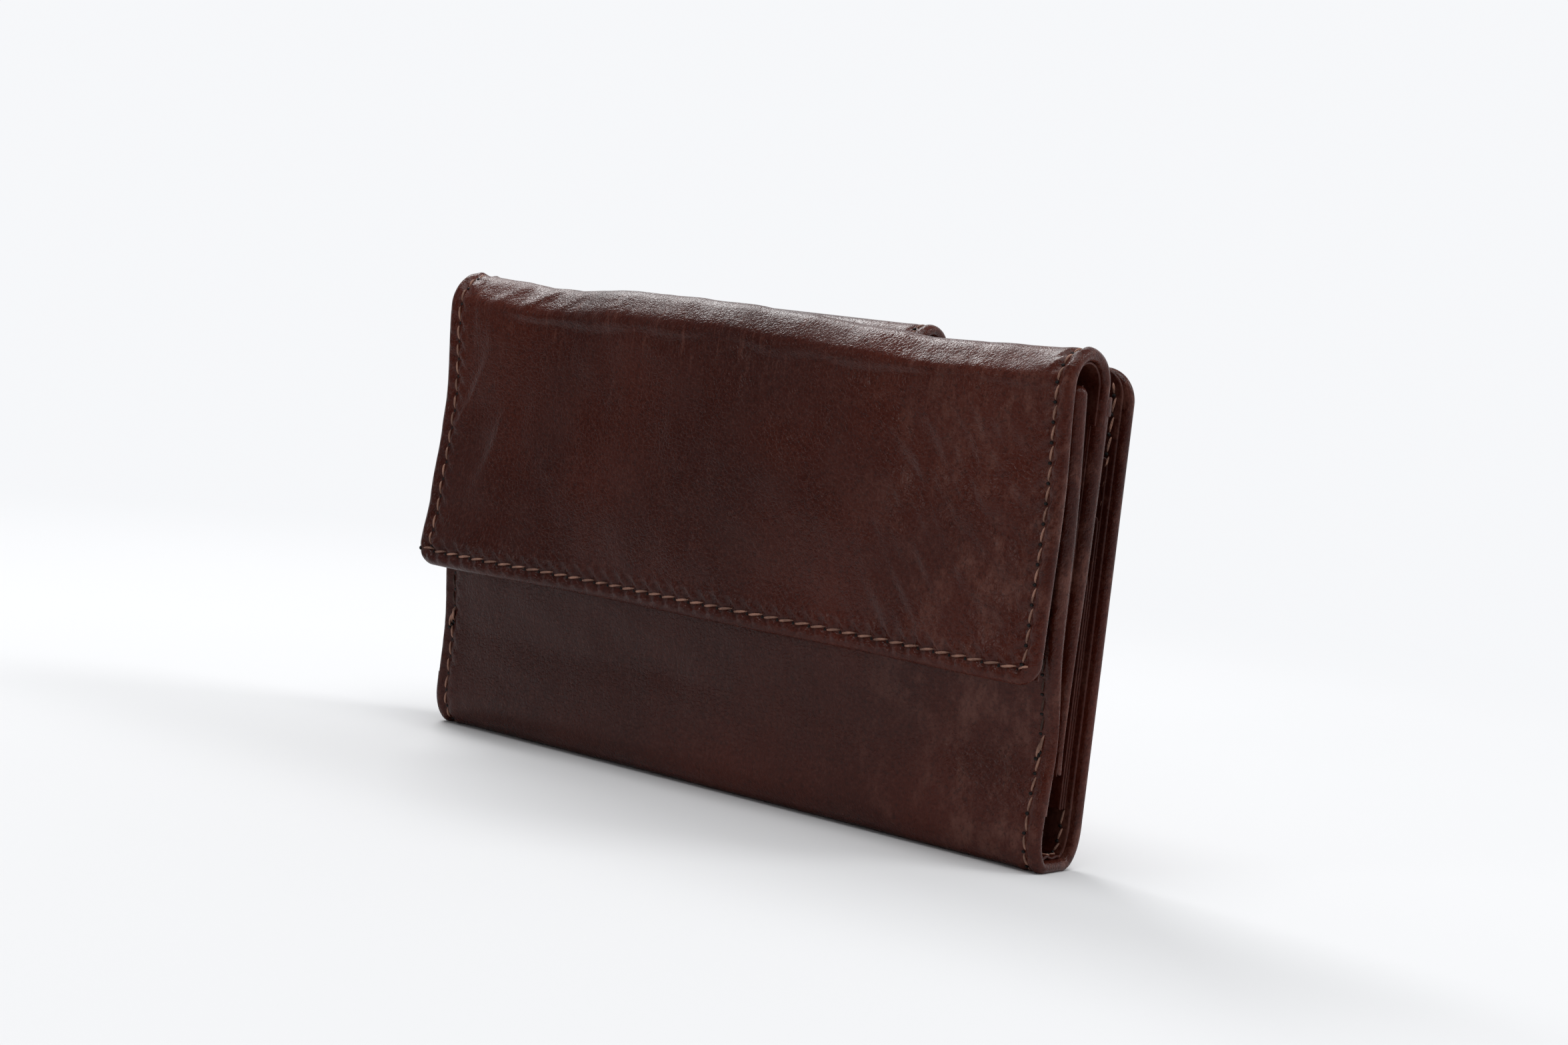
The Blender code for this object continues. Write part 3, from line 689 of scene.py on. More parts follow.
def sew(name, stitches, material, radius):
    """One piece with a stitch for each (start, middle, end, outward) given, and at its start a dark blob
    painted as the shade in its hole.
    """
    shape, shape_faces = stitch_shape()
    points, faces, hole_shade_faces = [], [], 0
    for start, middle, end, outward in stitches:
        along = (end - start) / 2
        run = along / np.linalg.norm(along)
        outward = outward - run * outward.dot(run)
        outward = outward / np.linalg.norm(outward)
        beside = np.cross(outward, run)
        bow = (1 - shape[:, 0:1] ** 2) * (middle - (start + end) / 2)
        dip = 1.8 * radius * np.abs(shape[:, 0:1]) ** 5
        copy = (start + end) / 2 + shape[:, 0:1] * along + bow + shape[:, 1:2] * radius * beside
        copy = copy + (shape[:, 2:3] * radius - dip) * outward
        faces += [tuple(index + len(points) * len(shape) for index in face) for face in shape_faces]
        points.append(copy)
    # Dark blobs of painted shade, one at each stitch's awl hole.
    for start, middle, end, outward in stitches:
        outward = outward / np.linalg.norm(outward)
        run = (end - start) / np.linalg.norm(end - start)
        beside = np.cross(outward, run)
        hole = start - run * 0.9 * radius - outward * 0.5 * radius
        oval = shape[:, 0:1] * run * 1.4 + shape[:, 1:2] * beside * 1.7 + shape[:, 2:3] * outward
        copy = hole + oval * radius
        faces += [tuple(index + len(points) * len(shape) for index in face) for face in shape_faces]
        points.append(copy)
        hole_shade_faces += len(shape_faces)
    mesh = bpy.data.meshes.new(name)
    mesh.from_pydata(np.concatenate(points), [], faces)
    piece = bpy.data.objects.new(name, mesh)
    bpy.context.scene.collection.objects.link(piece)
    only(piece)
    bpy.ops.object.mode_set(mode="EDIT")
    bpy.ops.mesh.select_all(action="SELECT")
    bpy.ops.mesh.normals_make_consistent(inside=False)
    bpy.ops.object.mode_set(mode="OBJECT")
    bpy.ops.object.shade_smooth()
    dress(piece, material)
    # The painted hole shade gets the near-black material.
    piece.data.materials.append(materials()["awl_hole_shade"])
    for face in piece.data.polygons[len(piece.data.polygons) - hole_shade_faces:]:
        face.material_index = 1
    return piece


SIDE_LENGTH, SIDE_SLANT = 3.5 * MM, 0.30 * MM
FOOT_LENGTH, FOOT_SLANT = 3.9 * MM, -0.36 * MM


def side_seam(sheet, u, start, end, lift, inside=False):
    """Stitches along a sheet's side at u, a pitch apart from start to end, each a little aslant."""
    found = []
    way = 1 if end > start else -1
    first = math.ceil(min(start, end) / PITCH + 0.5) - 0.5
    last = math.floor(max(start, end) / PITCH + 0.5) - 0.5
    depth = -lift if inside else lift
    lean = SIDE_SLANT if u > 0 else -SIDE_SLANT
    for k in np.arange(first, last + 0.5):
        s = (k + 0.5) * PITCH - PITCH / 2
        a = sheet.points(u - lean, s - way * SIDE_LENGTH / 2, depth, inside)
        b = sheet.points(u + lean, s + way * SIDE_LENGTH / 2, depth, inside)
        middle = sheet.points(u, s, depth, inside)
        out = sheet.outward(u, s) * (-1 if inside else 1)
        found.append((a, middle, b, out))
    return found


def foot_seam(sheet, s, start, end, lift):
    """Stitches across a sheet at s, a pitch apart from start to end in X."""
    found = []
    first = math.ceil(start / PITCH - 0.5) + 0.5
    for k in np.arange(first, end / PITCH, 1.0):
        u = k * PITCH
        a = sheet.points(u - FOOT_LENGTH / 2, s + FOOT_SLANT, lift)
        b = sheet.points(u + FOOT_LENGTH / 2, s - FOOT_SLANT, lift)
        found.append((a, sheet.points(u, s, lift), b, sheet.outward(u, s)))
    return found


# ---------------------------------------------------------------- the sheets themselves

BEHIND = STRIP_THICK + 0.03 * MM
FLAP = Sheet(
    FLAP_PROFILE, -HALF, HALF, -1, STRIP_THICK, flap_hang, flap_relief, corner_start=5 * MM, pinch=False,
)
FRONT = Sheet(FRONT_PROFILE, -HALF, HALF, -1, FRONT_THICK, None, front_relief, corner_end=2 * MM, flush=True)
OUTER = Sheet(OUTER_PROFILE, -HALF, HALF, 1, STRIP_THICK, None, outer_relief, corner_end=7 * MM, flush=True)


def foot_creases(u, s):
    """The lining's folds inside the foot, running away from the fold."""
    fold = hump(s, 16 * MM, 9 * MM)
    return 0.28 * MM * waves(u * 0.2, s, 41, 3.2 * MM, 6) * fold * smooth((np.abs(u) - 55 * MM) / (20 * MM))


FLAP_LINER = Sheet(
    FLAP_PROFILE, -HALF + 1.2 * MM, HALF - 1.2 * MM, -1, 0.6 * MM, flap_hang, pinch=False, drop=BEHIND,
    start=1.2 * MM,
)
FRONT_LINER = Sheet(
    FRONT_PROFILE, -HALF + 2 * MM, HALF - 2 * MM, -1, THIN_LINING, drop=FRONT_THICK - 0.1 * MM, start=13 * MM,
)
OUTER_LINER = Sheet(
    OUTER_PROFILE, -HALF + 1.7 * MM, HALF - 1.7 * MM, 1, LINING_THICK, foot_creases, corner_end=6 * MM,
    drop=STRIP_THICK - 0.1 * MM,
)


def upright(y, low_x, high_x, low_z, high_z, side, thickness, shape=None, corner=0.0):
    """An upright sheet with its face at y, from its foot to its top."""
    profile = Profile(line((y, low_z), (y, high_z), 3))
    return Sheet(profile, low_x, high_x, side, thickness, shape, corner_end=corner)


def lay_plain(name, sheet, step, material):
    """A sheet without seams."""
    radius = sheet.thickness / 2
    across = spread(sheet.low, sheet.high, step, radius)
    along = spread(sheet.start, sheet.end, step, radius)
    return lay_sheet(name, sheet, across, along, material)


def lay_sewn(name, sheet, steps, ends, material):
    """A sheet sewn along both sides, and at its start and its end where ends says so."""
    radius = sheet.thickness / 2
    across = spread(sheet.low, sheet.high, steps[0], radius, (True, True))
    along = spread(sheet.start, sheet.end, steps[1], radius, ends, sheet.flush)
    return lay_sheet(name, sheet, across, along, material)


class WALLET_OT_flap(Operator):
    """Lays the flap's leather over the top roll and lines it"""

    bl_idname = "wallet.flap"
    bl_label = "Flap"

    def execute(self, context):
        have = materials()
        steps = (0.8 * MM, 0.8 * MM)
        # The flap's leather carries the painted highlight streaks below its roll.
        strip = lay_sewn("flap_strip", FLAP, steps, (True, False), have["flap_leather_streak_highlights"])
        lining = lay_plain("flap_strip_lining", FLAP_LINER, 1.5 * MM, have["wallet_lining"])
        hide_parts("flap_leather", "flap_board", "flap_fold_leather")
        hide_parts("flap_lining", "flap_fold_lining")
        for piece, slot in ((strip, "leather"), (lining, "lining")):
            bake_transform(piece)
        return {"FINISHED"}


class WALLET_OT_front(Operator):
    """Lays the front panel's leather down to the foot and lines it"""

    bl_idname = "wallet.front"
    bl_label = "Front panel"

    def execute(self, context):
        have = materials()
        steps = (1.0 * MM, 0.85 * MM)
        outer = lay_sewn("front_outer", FRONT, steps, (False, False), have["wallet_leather"])
        inner = lay_plain("front_inner", FRONT_LINER, 1.6 * MM, have["wallet_lining"])
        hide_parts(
            "front_panel_leather", "front_panel_board", "front_base_leather", "front_base_board"
        )
        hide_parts("front_panel_lining")
        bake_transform(outer)
        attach(inner, "front_panel")
        return {"FINISHED"}


class WALLET_OT_back(Operator):
    """Lays the outer leather round the foot and up the back, and lines it"""

    bl_idname = "wallet.back"
    bl_label = "Foot and back panel"

    def execute(self, context):
        have = materials()
        steps = (1.0 * MM, 0.85 * MM)
        strip = lay_sewn("outer_strip", OUTER, steps, (False, True), have["wallet_leather"])
        lining = lay_plain("outer_strip_lining", OUTER_LINER, 0.9 * MM, have["wallet_lining"])
        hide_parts("bottom_fold_leather", "back_panel_leather", "back_panel_board")
        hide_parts("front_base_lining", "bottom_fold_lining", "back_panel_lining")
        for piece, slot in ((strip, "leather"), (lining, "lining")):
            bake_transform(piece)
        return {"FINISHED"}


def band_pinches(u, s):
    """The small gathers along the top band's lower edge."""
    return 0.12 * MM * waves(u, s, 61, 6 * MM, 6)


WALL_FRONT_Y = -4.2 * MM
WALL_TOP, LINER_TOP, BACKING_TOP = 94 * MM, 90 * MM, 91 * MM
BAND_Y, BAND_FOOT, BAND_TOP, BAND_THICK, BAND_PAST = 0.6 * MM, 92 * MM, 96 * MM, 4.9 * MM, 0.15 * MM
WALL_INSET = 2.2 * MM


class WALLET_OT_middle(Operator):
    """Builds the middle wall with its backing, top band, bill pockets and welt"""

    bl_idname = "wallet.middle"
    bl_label = "Middle wall"

    def execute(self, context):
        have = materials()
        foot = WALL_LOW[2]
        leather, lining = "wallet_leather", "wallet_lining"
        inner = HALF - WALL_INSET
        side = HALF + BAND_PAST
        welt_thick = WELT_HIGH[1] - WELT_LOW[1]
        wall = upright(WALL_FRONT_Y + WALL_THICK, -HALF, HALF, foot, WALL_TOP, 1, WALL_THICK)
        liner = upright(WALL_FRONT_Y + 0.2 * MM, -inner, inner, foot, LINER_TOP, 1, THIN_LINING)
        backing = upright(BACKING_HIGH[1] + 0.5 * MM, -inner, inner, foot, BACKING_TOP, 1, LINING_THICK)
        band = upright(BAND_Y, -side, side, BAND_FOOT, BAND_TOP, 1, BAND_THICK, band_pinches)
        welt = upright(WELT_HIGH[1], WELT_LOW[0], WELT_HIGH[0], WELT_LOW[2], WELT_HIGH[2], 1, welt_thick)
        rows = [
            ("middle_wall_panel", wall, leather, ("middle_wall_leather", "middle_wall_board")),
            ("middle_wall_liner", liner, lining, ("middle_wall_lining",)),
            ("middle_backing_panel", backing, leather, ("middle_backing",)),
            ("middle_band", band, leather, ("middle_top_band",)),
            ("welt_strip", welt, lining, ("compartment_welt",)),
        ]
        for node in ("note_pocket", "receipt_pocket"):
            low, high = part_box(node)
            sheet = upright(high[1], low[0], high[0], low[2], high[2], 1, high[1] - low[1], corner=2 * MM)
            rows.append((node + "_sheet", sheet, lining, (node,)))
        for name, sheet, material, nodes in rows:
            step = 1.2 * MM if name == "middle_band" else 2 * MM
            piece = lay_plain(name, sheet, step, have[material])
            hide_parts(*nodes)
            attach(piece, "compartment")
        return {"FINISHED"}


GUSSET_GRID = (28, 40)
GUSSET_REAR_Y = -4.5 * MM
GUSSET_INSET, GUSSET_DEPTH, GUSSET_GAP = 0.6 * MM, 11.4 * MM, 0.7 * MM


class WALLET_OT_gussets(Operator):
    """Folds the two side gussets between the front panel and the middle wall"""

    bl_idname = "wallet.gussets"
    bl_label = "Gussets"

    def execute(self, context):
        have = materials()
        foot, top = GUSSET_LOW[2], GUSSET_HIGH[2]
        for node, sign in (("gusset_left", -1), ("gusset_right", 1)):
            piece = add_grid(*GUSSET_GRID)
            piece.name = piece.data.name = node + "_fold"
            for vertex in piece.data.vertices:
                t, h = (vertex.co.x + 1) / 2, (vertex.co.y + 1) / 2
                z = foot + h * (top - foot)
                front_y = float(FRONT_PROFILE.at(z - SPLIT_Z)[0]) + FRONT_THICK + GUSSET_GAP
                fold = math.cos(math.pi * (t - 0.5)) ** 0.7 if 0 < t < 1 else 0.0
                x = sign * (GUSSET_HIGH[0] - GUSSET_INSET - GUSSET_DEPTH * fold)
                y = front_y + (GUSSET_REAR_Y - front_y) * smooth(t)
                vertex.co = [float(value) for value in settle(x, y, z)]
            piece.data.update()
            apply_modifier(piece, "SOLIDIFY", thickness=THIN_LINING, offset=0.0)
            smooth_and_dress(piece, 50, have["wallet_lining"])
            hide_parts(node)
            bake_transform(piece)
        return {"FINISHED"}


SURROUND_WIDTH = 7 * MM


class WALLET_OT_pockets(Operator):
    """Sets the card pockets and the window pocket on the back panel's inner side"""

    bl_idname = "wallet.pockets"
    bl_label = "Card and window pockets"

    def execute(self, context):
        have = materials()
        for node in ("card_slot_1", "card_slot_2", "card_slot_3"):
            low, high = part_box(node)
            sheet = upright(low[1], low[0], high[0], low[2], high[2], -1, high[1] - low[1], corner=1.5 * MM)
            piece = lay_plain(node.replace("slot", "pocket"), sheet, 2 * MM, have["wallet_lining"])
            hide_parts(node)
            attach(piece, "back_panel")
        low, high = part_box("window_film")
        sheet = upright(low[1], low[0], high[0], low[2], high[2], -1, high[1] - low[1])
        pane = lay_plain("window_pane", sheet, 6 * MM, have["window_film"])
        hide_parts("window_film")
        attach(pane, "back_panel")
        self.surround(have)
        return {"FINISHED"}

    def surround(self, have):
        """The leather frame of the window: a plate with its middle inset and taken out."""
        low, high = (Vector(corner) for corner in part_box("window_frame"))
        bpy.ops.object.select_all(action="DESELECT")
        middle = (low + high) / 2
        place = (middle.x, low.y, middle.z)
        bpy.ops.mesh.primitive_plane_add(size=1, location=place, rotation=(math.pi / 2, 0, 0))
        piece = bpy.context.object
        piece.name = piece.data.name = "window_surround"
        piece.scale = (high.x - low.x, high.z - low.z, 1)
        bpy.ops.object.transform_apply(location=True, rotation=True, scale=True)
        bpy.ops.object.mode_set(mode="EDIT")
        bpy.ops.mesh.select_all(action="SELECT")
        bpy.ops.mesh.inset(thickness=SURROUND_WIDTH, depth=0)
        bpy.ops.mesh.delete(type="FACE")
        bpy.ops.object.mode_set(mode="OBJECT")
        apply_modifier(piece, "SOLIDIFY", thickness=high.y - low.y, offset=-1.0)
        soften(piece, 0.22 * MM, 60)
        smooth_and_dress(piece, 50, have["wallet_leather"])
        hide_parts("window_frame")
        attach(piece, "back_panel")


TAB_HALF = TAB_HIGH[0]
TAB_THICK = 2.0 * MM
TAB_LOOP = (7.0 * MM, 100.5 * MM)
TAB_BEND = 5.5 * MM
TAB_FRONT_Y, TAB_REAR_Y, TAB_LOW_Y = 1.5 * MM, 12.5 * MM, 10.8 * MM
TAB_PROFILE = Profile(np.concatenate([
    line((TAB_FRONT_Y, 82 * MM), (TAB_FRONT_Y, TAB_LOOP[1])),
    arc(TAB_LOOP, (TAB_BEND, TAB_BEND), 180, 0),
    line((TAB_REAR_Y, TAB_LOOP[1]), (TAB_REAR_Y, 97 * MM)),
    curve_through(np.array([(12.5, 97), (12.2, 94), (10.9, 91), (10.8, 90)]) * MM, 12)[1:],
    line((TAB_LOW_Y, 90 * MM), (TAB_LOW_Y, 70 * MM)),
]))


def tab_relief(u, s):
    edge = TAB_HALF - np.abs(u)
    foot = TAB_PROFILE.length - s
    sides = seam_relief(edge, s, pucker=0.12 * MM) * off_rim(s) * off_rim(foot)
    ends = (seam_relief(s, u, pucker=0.1 * MM) + seam_relief(foot, u, pucker=0.1 * MM)) * off_rim(edge)
    return 0.7 * (sides + ends)


TAB = Sheet(
    TAB_PROFILE, -TAB_HALF, TAB_HALF, -1, TAB_THICK, None, tab_relief, corner_start=5 * MM,
    corner_end=5 * MM, pinch=False,
)


class WALLET_OT_strap(Operator):
    """Bends the closure strap over the back panel's top"""

    bl_idname = "wallet.strap"
    bl_label = "Closure strap"

    def execute(self, context):
        have = materials()
        steps = (0.9 * MM, 0.8 * MM)
        strap = lay_sewn("closure_strap", TAB, steps, (True, True), have["wallet_leather"])
        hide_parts("closure_tab")
        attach(strap, "back_panel")
        return {"FINISHED"}


# How a snap's halves are turned: each step's scale, and its rise as a share of the depth.
SNAP_BASE = (0.92, 0.16)
STUD_STEPS = [SNAP_BASE, (0.56, 0.0), (0.94, 0.42), (1.08, 0.20), (0.72, 0.14)]
SOCKET_STEPS = [SNAP_BASE, (0.96, 0.5), (0.8, 0.1), (0.8, 0.0), (0.96, -0.45)]
SOCKET_PROUD = 0.35 * MM


class WALLET_OT_studs(Operator):
    """Turns the four halves of the two snaps"""

    bl_idname = "wallet.studs"
    bl_label = "Snaps"

    def execute(self, context):
        for node, body in (
            ("tab_snap_stud", "compartment"), ("front_snap_stud", "front_panel"),
            ("flap_snap_socket", "flap"), ("tab_snap_socket", "back_panel"),
        ):
            self.turn(node, body)
        return {"FINISHED"}

    def turn(self, node, body):
        low, high = (Vector(corner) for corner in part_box(node))
        middle, depth = (low + high) / 2, high.y - low.y
        radius = (high.z - low.z) / 2
        faces_front = node in ("front_snap_stud", "tab_snap_socket")
        piece = add_disc(40, radius)
        piece.name = piece.data.name = node + "_brass"
        bpy.ops.object.mode_set(mode="EDIT")
        bpy.ops.mesh.select_all(action="SELECT")
        for scale, rise in STUD_STEPS if node.endswith("stud") else SOCKET_STEPS:
            bpy.ops.mesh.extrude_region_move(TRANSFORM_OT_translate={"value": (0, 0, rise * depth)})
            bpy.ops.transform.resize(value=(scale, scale, 1))
        bpy.ops.mesh.select_all(action="SELECT")
        bpy.ops.mesh.edge_face_add()
        bpy.ops.mesh.normals_make_consistent(inside=False)
        bpy.ops.object.mode_set(mode="OBJECT")
        turn = Matrix.Rotation(math.radians(90 if faces_front else -90), 4, "X")
        start = Vector((middle.x, high.y if faces_front else low.y, middle.z))
        x, y, z = settle(start.x, start.y, start.z, False)
        if node == "flap_snap_socket":
            y = y + SOCKET_PROUD
        piece.data.transform(Matrix.Translation((float(x), float(y), float(z))) @ turn)
        soften(piece, 0.12 * MM, 25)
        smooth_and_dress(piece, 40, materials()["snap_brass"])
        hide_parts(node)
        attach(piece, body)


class WALLET_OT_stitching(Operator):
    """Sews the seams of the flap, the front panel, the back panel and the strap"""

    bl_idname = "wallet.stitching"
    bl_label = "Stitching"

    def execute(self, context):
        have = materials()
        radius = context.scene.wallet_sewing.thread_radius
        copper, brown = have["copper_thread"], have["brown_thread"]
        seam_u = HALF - SEAM_INSET
        lift = STITCH_LIFT
        stitches = foot_seam(FLAP, SEAM_INSET, -seam_u - 1 * MM, seam_u + 1 * MM, lift)
        for u in (-seam_u, seam_u):
            stitches += side_seam(FLAP, u, SEAM_INSET, 80 * MM, lift)
        flap = sew("flap_stitching", stitches, copper, radius)
        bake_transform(flap)

        knot = SEAM_Z - SPLIT_Z
        upper, lower, foot = [], [], []
        for u in (-seam_u, seam_u):
            upper += side_seam(FRONT, u, knot + 2 * MM, FRONT_PROFILE.length - 2 * MM, lift)
            lower += side_seam(FRONT, u, 0, knot + 1 * MM, lift)
            out = FRONT.outward(u, knot)
            for turn in (-0.35 * MM, 0.0, 0.35 * MM):
                low_end = FRONT.points(u - 0.3 * MM + turn, knot - 1.2 * MM + 2 * turn, lift * 3)
                high_end = FRONT.points(u + 0.3 * MM + turn, knot + 2.4 * MM + 2 * turn, lift * 3)
                lower.append((low_end, (low_end + high_end) / 2 + 0.2 * out, high_end, out))
            foot += side_seam(OUTER, u, 0, OUTER_PROFILE.length - 3 * MM, lift)
            foot += side_seam(OUTER_LINER, u, 0, OUTER_PROFILE.length - 3 * MM, 0.15 * MM, inside=True)
        upper_piece = sew("front_rim_stitching", upper, brown, radius)
        lower_piece = sew("front_foot_stitching", lower, copper, radius)
        foot += foot_seam(OUTER, OUTER_PROFILE.length - SEAM_INSET, -seam_u, seam_u, lift)
        foot_piece = sew("back_stitching", foot, copper, radius)
        for piece in (upper_piece, lower_piece):
            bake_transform(piece)
        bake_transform(foot_piece)

        tab_u = TAB_HALF - SEAM_INSET
        tab_ends = (SEAM_INSET, TAB_PROFILE.length - SEAM_INSET)
        tab = []
        for s in tab_ends:
            tab += foot_seam(TAB, s, -tab_u, tab_u, lift)
        for u in (-tab_u, tab_u):
            tab += side_seam(TAB, u, *tab_ends, lift)
        tab_piece = sew("strap_stitching", tab, copper, radius)
        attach(tab_piece, "back_panel")
        return {"FINISHED"}


# ---------------------------------------------------------------- stage

CAMERA_PLACE = (0.3652, -0.4523, 0.1041)
CAMERA_RIGHT = (0.7720, 0.6251, 0.1149)
CAMERA_UP = (-0.1372, -0.0126, 0.9905)
CAMERA_BACK = (0.6206, -0.7804, 0.0760)
LENS, SENSOR = 61.22, 36
FLOOR_RADIUS, FLOOR_GROWTH = 0.6, (2.5, 2.5, 3.0)
GLOW_FROM, GLOW_TO = 0.2, 0.6


class WALLET_OT_stage(Operator):
    """Sets up the pale floor, the soft light and the camera"""

    bl_idname = "wallet.stage"
    bl_label = "Stage"

    def execute(self, context):
        scene = context.scene
        look = scene.wallet_stage
        self.floor(look)
        world = bpy.data.worlds.new("studio")
        world.use_nodes = True
        tree = world.node_tree
        way = tree.nodes.new("ShaderNodeTexCoord").outputs["Generated"]
        tree.links.new(self.backdrop(tree, way, look), tree.nodes["Background"].inputs["Color"])
        scene.world = world
        self.softbox("left_softbox", (-0.95, 0.45, 1.1), (0, 0, 0.09), (0.7, 0.35), look.left)
        self.softbox("right_softbox", (0.9, 0.75, 1.2), (0, 0, 0.05), (0.5, 0.4), look.right)
        self.softbox("top_softbox", (0.1, -0.35, 1.8), (0, 0, 0), (1.4, 1.0), look.top)
        self.softbox("front_softbox", (-0.45, -1.6, 0.5), (0, 0, 0.05), (0.35, 0.35), look.front)
        self.camera(scene)
        scene.view_settings.view_transform = "Standard"
        return {"FINISHED"}

    def backdrop(self, tree, way, look):
        """The backdrop's colour: pale to the eye, but it lights less from in front and from above."""
        split = tree.nodes.new("ShaderNodeSeparateXYZ")
        tree.links.new(way, split.inputs["Vector"])
        behind = link_range(tree, split.outputs["Y"], -0.75, 0.05)
        low = link_range(tree, split.outputs["Z"], 0.25, 0.7, 1.0, 0.2)
        pale = look.backdrop[:]
        lighting = link_mix(tree, link_product(tree, behind, low), shade(pale, look.dim), pale)
        seen = tree.nodes.new("ShaderNodeLightPath").outputs["Is Camera Ray"]
        return link_mix(tree, seen, lighting, pale)

    def floor(self, look):
        """A wide pale sheet, which glows like the backdrop far from the wallet so that no horizon shows."""
        floor = add_disc(96, FLOOR_RADIUS)
        floor.name = floor.data.name = "pale_floor"
        bpy.ops.object.mode_set(mode="EDIT")
        bpy.ops.mesh.select_mode(type="EDGE")
        bpy.ops.mesh.select_all(action="SELECT")
        bpy.ops.mesh.region_to_loop()
        for grow in FLOOR_GROWTH:
            bpy.ops.mesh.extrude_edges_move()
            bpy.ops.transform.resize(value=(grow, grow, 1))
        bpy.ops.object.mode_set(mode="OBJECT")
        material, tree, shader, place = new_material("floor_paper")
        tone = link_range(tree, link_noise(tree, place, 3, 2, 0.5), 0.3, 0.7)
        pale = link_mix(tree, tone, look.floor[:], shade(look.floor, 0.985))
        tree.links.new(pale, shader.inputs["Base Color"])
        shader.inputs["Roughness"].default_value = 0.9
        shader.inputs["Specular IOR Level"].default_value = 0.1
        glow = tree.nodes.new("ShaderNodeEmission")
        turn = tree.nodes.new("ShaderNodeVectorMath")
        turn.operation = "NORMALIZE"
        tree.links.new(place, turn.inputs[0])
        tree.links.new(self.backdrop(tree, turn.outputs["Vector"], look), glow.inputs["Color"])
        reach = tree.nodes.new("ShaderNodeVectorMath")
        reach.operation = "LENGTH"
        tree.links.new(place, reach.inputs[0])
        mix = tree.nodes.new("ShaderNodeMixShader")
        tree.links.new(link_range(tree, reach.outputs["Value"], GLOW_FROM, GLOW_TO), mix.inputs["Fac"])
        tree.links.new(shader.outputs["BSDF"], mix.inputs[1])
        tree.links.new(glow.outputs["Emission"], mix.inputs[2])
        tree.links.new(mix.outputs["Shader"], tree.nodes["Material Output"].inputs["Surface"])
        dress(floor, material)

    def softbox(self, name, place, target, size, power):
        light = bpy.data.lights.new(name, "AREA")
        light.shape = "RECTANGLE"
        light.size, light.size_y = size
        light.energy = power
        holder = bpy.data.objects.new(name, light)
        holder.location = place
        holder.rotation_euler = (Vector(target) - Vector(place)).to_track_quat("-Z", "Y").to_euler()
        bpy.context.scene.collection.objects.link(holder)

    def camera(self, scene):
        lens = bpy.data.cameras.new("camera")
        lens.lens = LENS
        lens.sensor_width = SENSOR
        lens.sensor_fit = "HORIZONTAL"
        lens.clip_start = 0.01
        camera = bpy.data.objects.new("camera", lens)
        turn = Matrix((CAMERA_RIGHT, CAMERA_UP, CAMERA_BACK)).transposed().to_4x4()
        camera.matrix_world = Matrix.Translation(CAMERA_PLACE) @ turn
        scene.collection.objects.link(camera)
        scene.camera = camera


# ---------------------------------------------------------------- settings and panel


def colour_setting(name, description, default, brightest=1.0):
    return FloatVectorProperty(
        name=name, description=description, subtype="COLOR", size=3, default=default, min=0, max=brightest,
    )


def power_setting(name, description, default):
    return FloatProperty(name=name, description=description, default=default, min=0, subtype="POWER")


class WalletLeather(PropertyGroup):
    deep: colour_setting("Deep brown", "Leather colour in its darkest parts", (0.036, 0.0066, 0.0040))
    warm: colour_setting("Warm brown", "Leather colour in its redder patches", (0.070, 0.0122, 0.0062))
    # The rubbed colour; it also paints the sheen toward the right, the highlight streaks below the flap's
    # roll and the grain's sparkle.
    worn_and_sheen: colour_setting("Worn brown", "Leather colour where it is rubbed", (0.125, 0.046, 0.033))
    roughness: FloatProperty(
        name="Roughness", description="Mean roughness of the leather", default=0.27, min=0, max=1,
    )
    grain: FloatProperty(
        name="Grain", description="Strength of the leather's grain", default=1.0, min=0, max=3,
    )


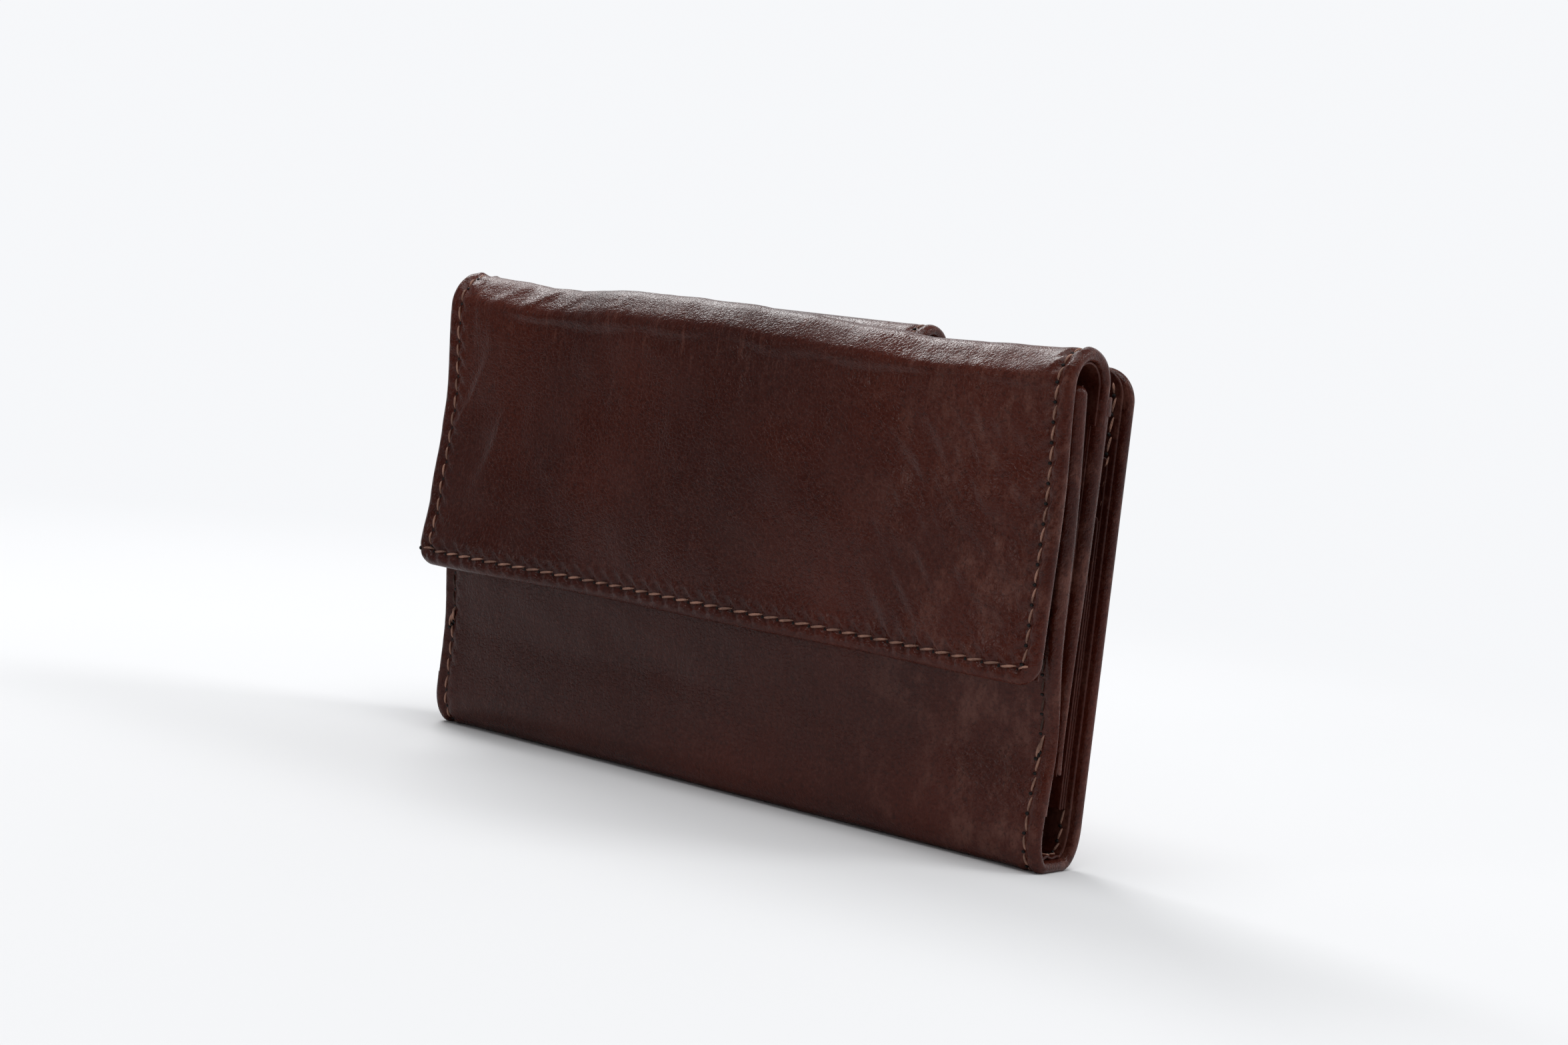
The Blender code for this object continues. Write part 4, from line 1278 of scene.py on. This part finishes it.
class WalletSewing(PropertyGroup):
    thread: colour_setting("Thread", "Colour of the copper thread", (0.34, 0.175, 0.125))
    dark_thread: colour_setting(
        "Dark thread", "Colour of the brown thread on the front rims", (0.06, 0.025, 0.016),
    )
    brass: colour_setting("Brass", "Colour of the snaps", (0.62, 0.44, 0.2))
    thread_radius: FloatProperty(
        name="Thread radius", description="Half the thread's thickness", default=0.25 * MM, min=0.1 * MM,
        max=1 * MM, precision=5, unit="LENGTH",
    )


class WalletStage(PropertyGroup):
    floor: colour_setting("Floor", "Colour of the floor", (0.78, 0.785, 0.795))
    backdrop: colour_setting("Backdrop", "Colour of the light from all round", (0.925, 0.935, 0.955), 2.0)
    dim: FloatProperty(
        name="Front dimming", description="Share of the backdrop's light that is left in front",
        default=0.15, min=0, max=1,
    )
    left: power_setting("Left softbox", "Power of the light at the left", 9)
    right: power_setting("Right softbox", "Power of the light at the right", 5)
    top: power_setting("Top softbox", "Power of the light above", 19)
    front: power_setting("Front softbox", "Power of the light in front", 2.0)


OPERATORS = (
    WALLET_OT_stage, WALLET_OT_flap, WALLET_OT_front, WALLET_OT_back, WALLET_OT_middle, WALLET_OT_gussets,
    WALLET_OT_pockets, WALLET_OT_strap, WALLET_OT_studs, WALLET_OT_stitching,
)


class WALLET_PT_looks(Panel):
    """Lists the wallet's settings and the steps that build it"""

    bl_label = "Trifold wallet"
    bl_idname = "WALLET_PT_looks"
    bl_space_type = "VIEW_3D"
    bl_region_type = "UI"
    bl_category = "Wallet"

    def draw(self, context):
        for group in (context.scene.wallet_leather, context.scene.wallet_sewing, context.scene.wallet_stage):
            for name in group.__annotations__:
                self.layout.prop(group, name)
        for operator in OPERATORS:
            self.layout.operator(operator.bl_idname)


GROUPS = {"wallet_leather": WalletLeather, "wallet_sewing": WalletSewing, "wallet_stage": WalletStage}


def register():
    for group in (*GROUPS.values(), *OPERATORS, WALLET_PT_looks):
        bpy.utils.register_class(group)
    for name, group in GROUPS.items():
        setattr(bpy.types.Scene, name, PointerProperty(type=group))


def unregister():
    for name in GROUPS:
        delattr(bpy.types.Scene, name)
    for group in reversed((*GROUPS.values(), *OPERATORS, WALLET_PT_looks)):
        bpy.utils.unregister_class(group)


def main():
    register()
    for operator in OPERATORS:
        getattr(bpy.ops.wallet, operator.bl_idname.split(".")[1])()


if __name__ == "__main__":
    main()
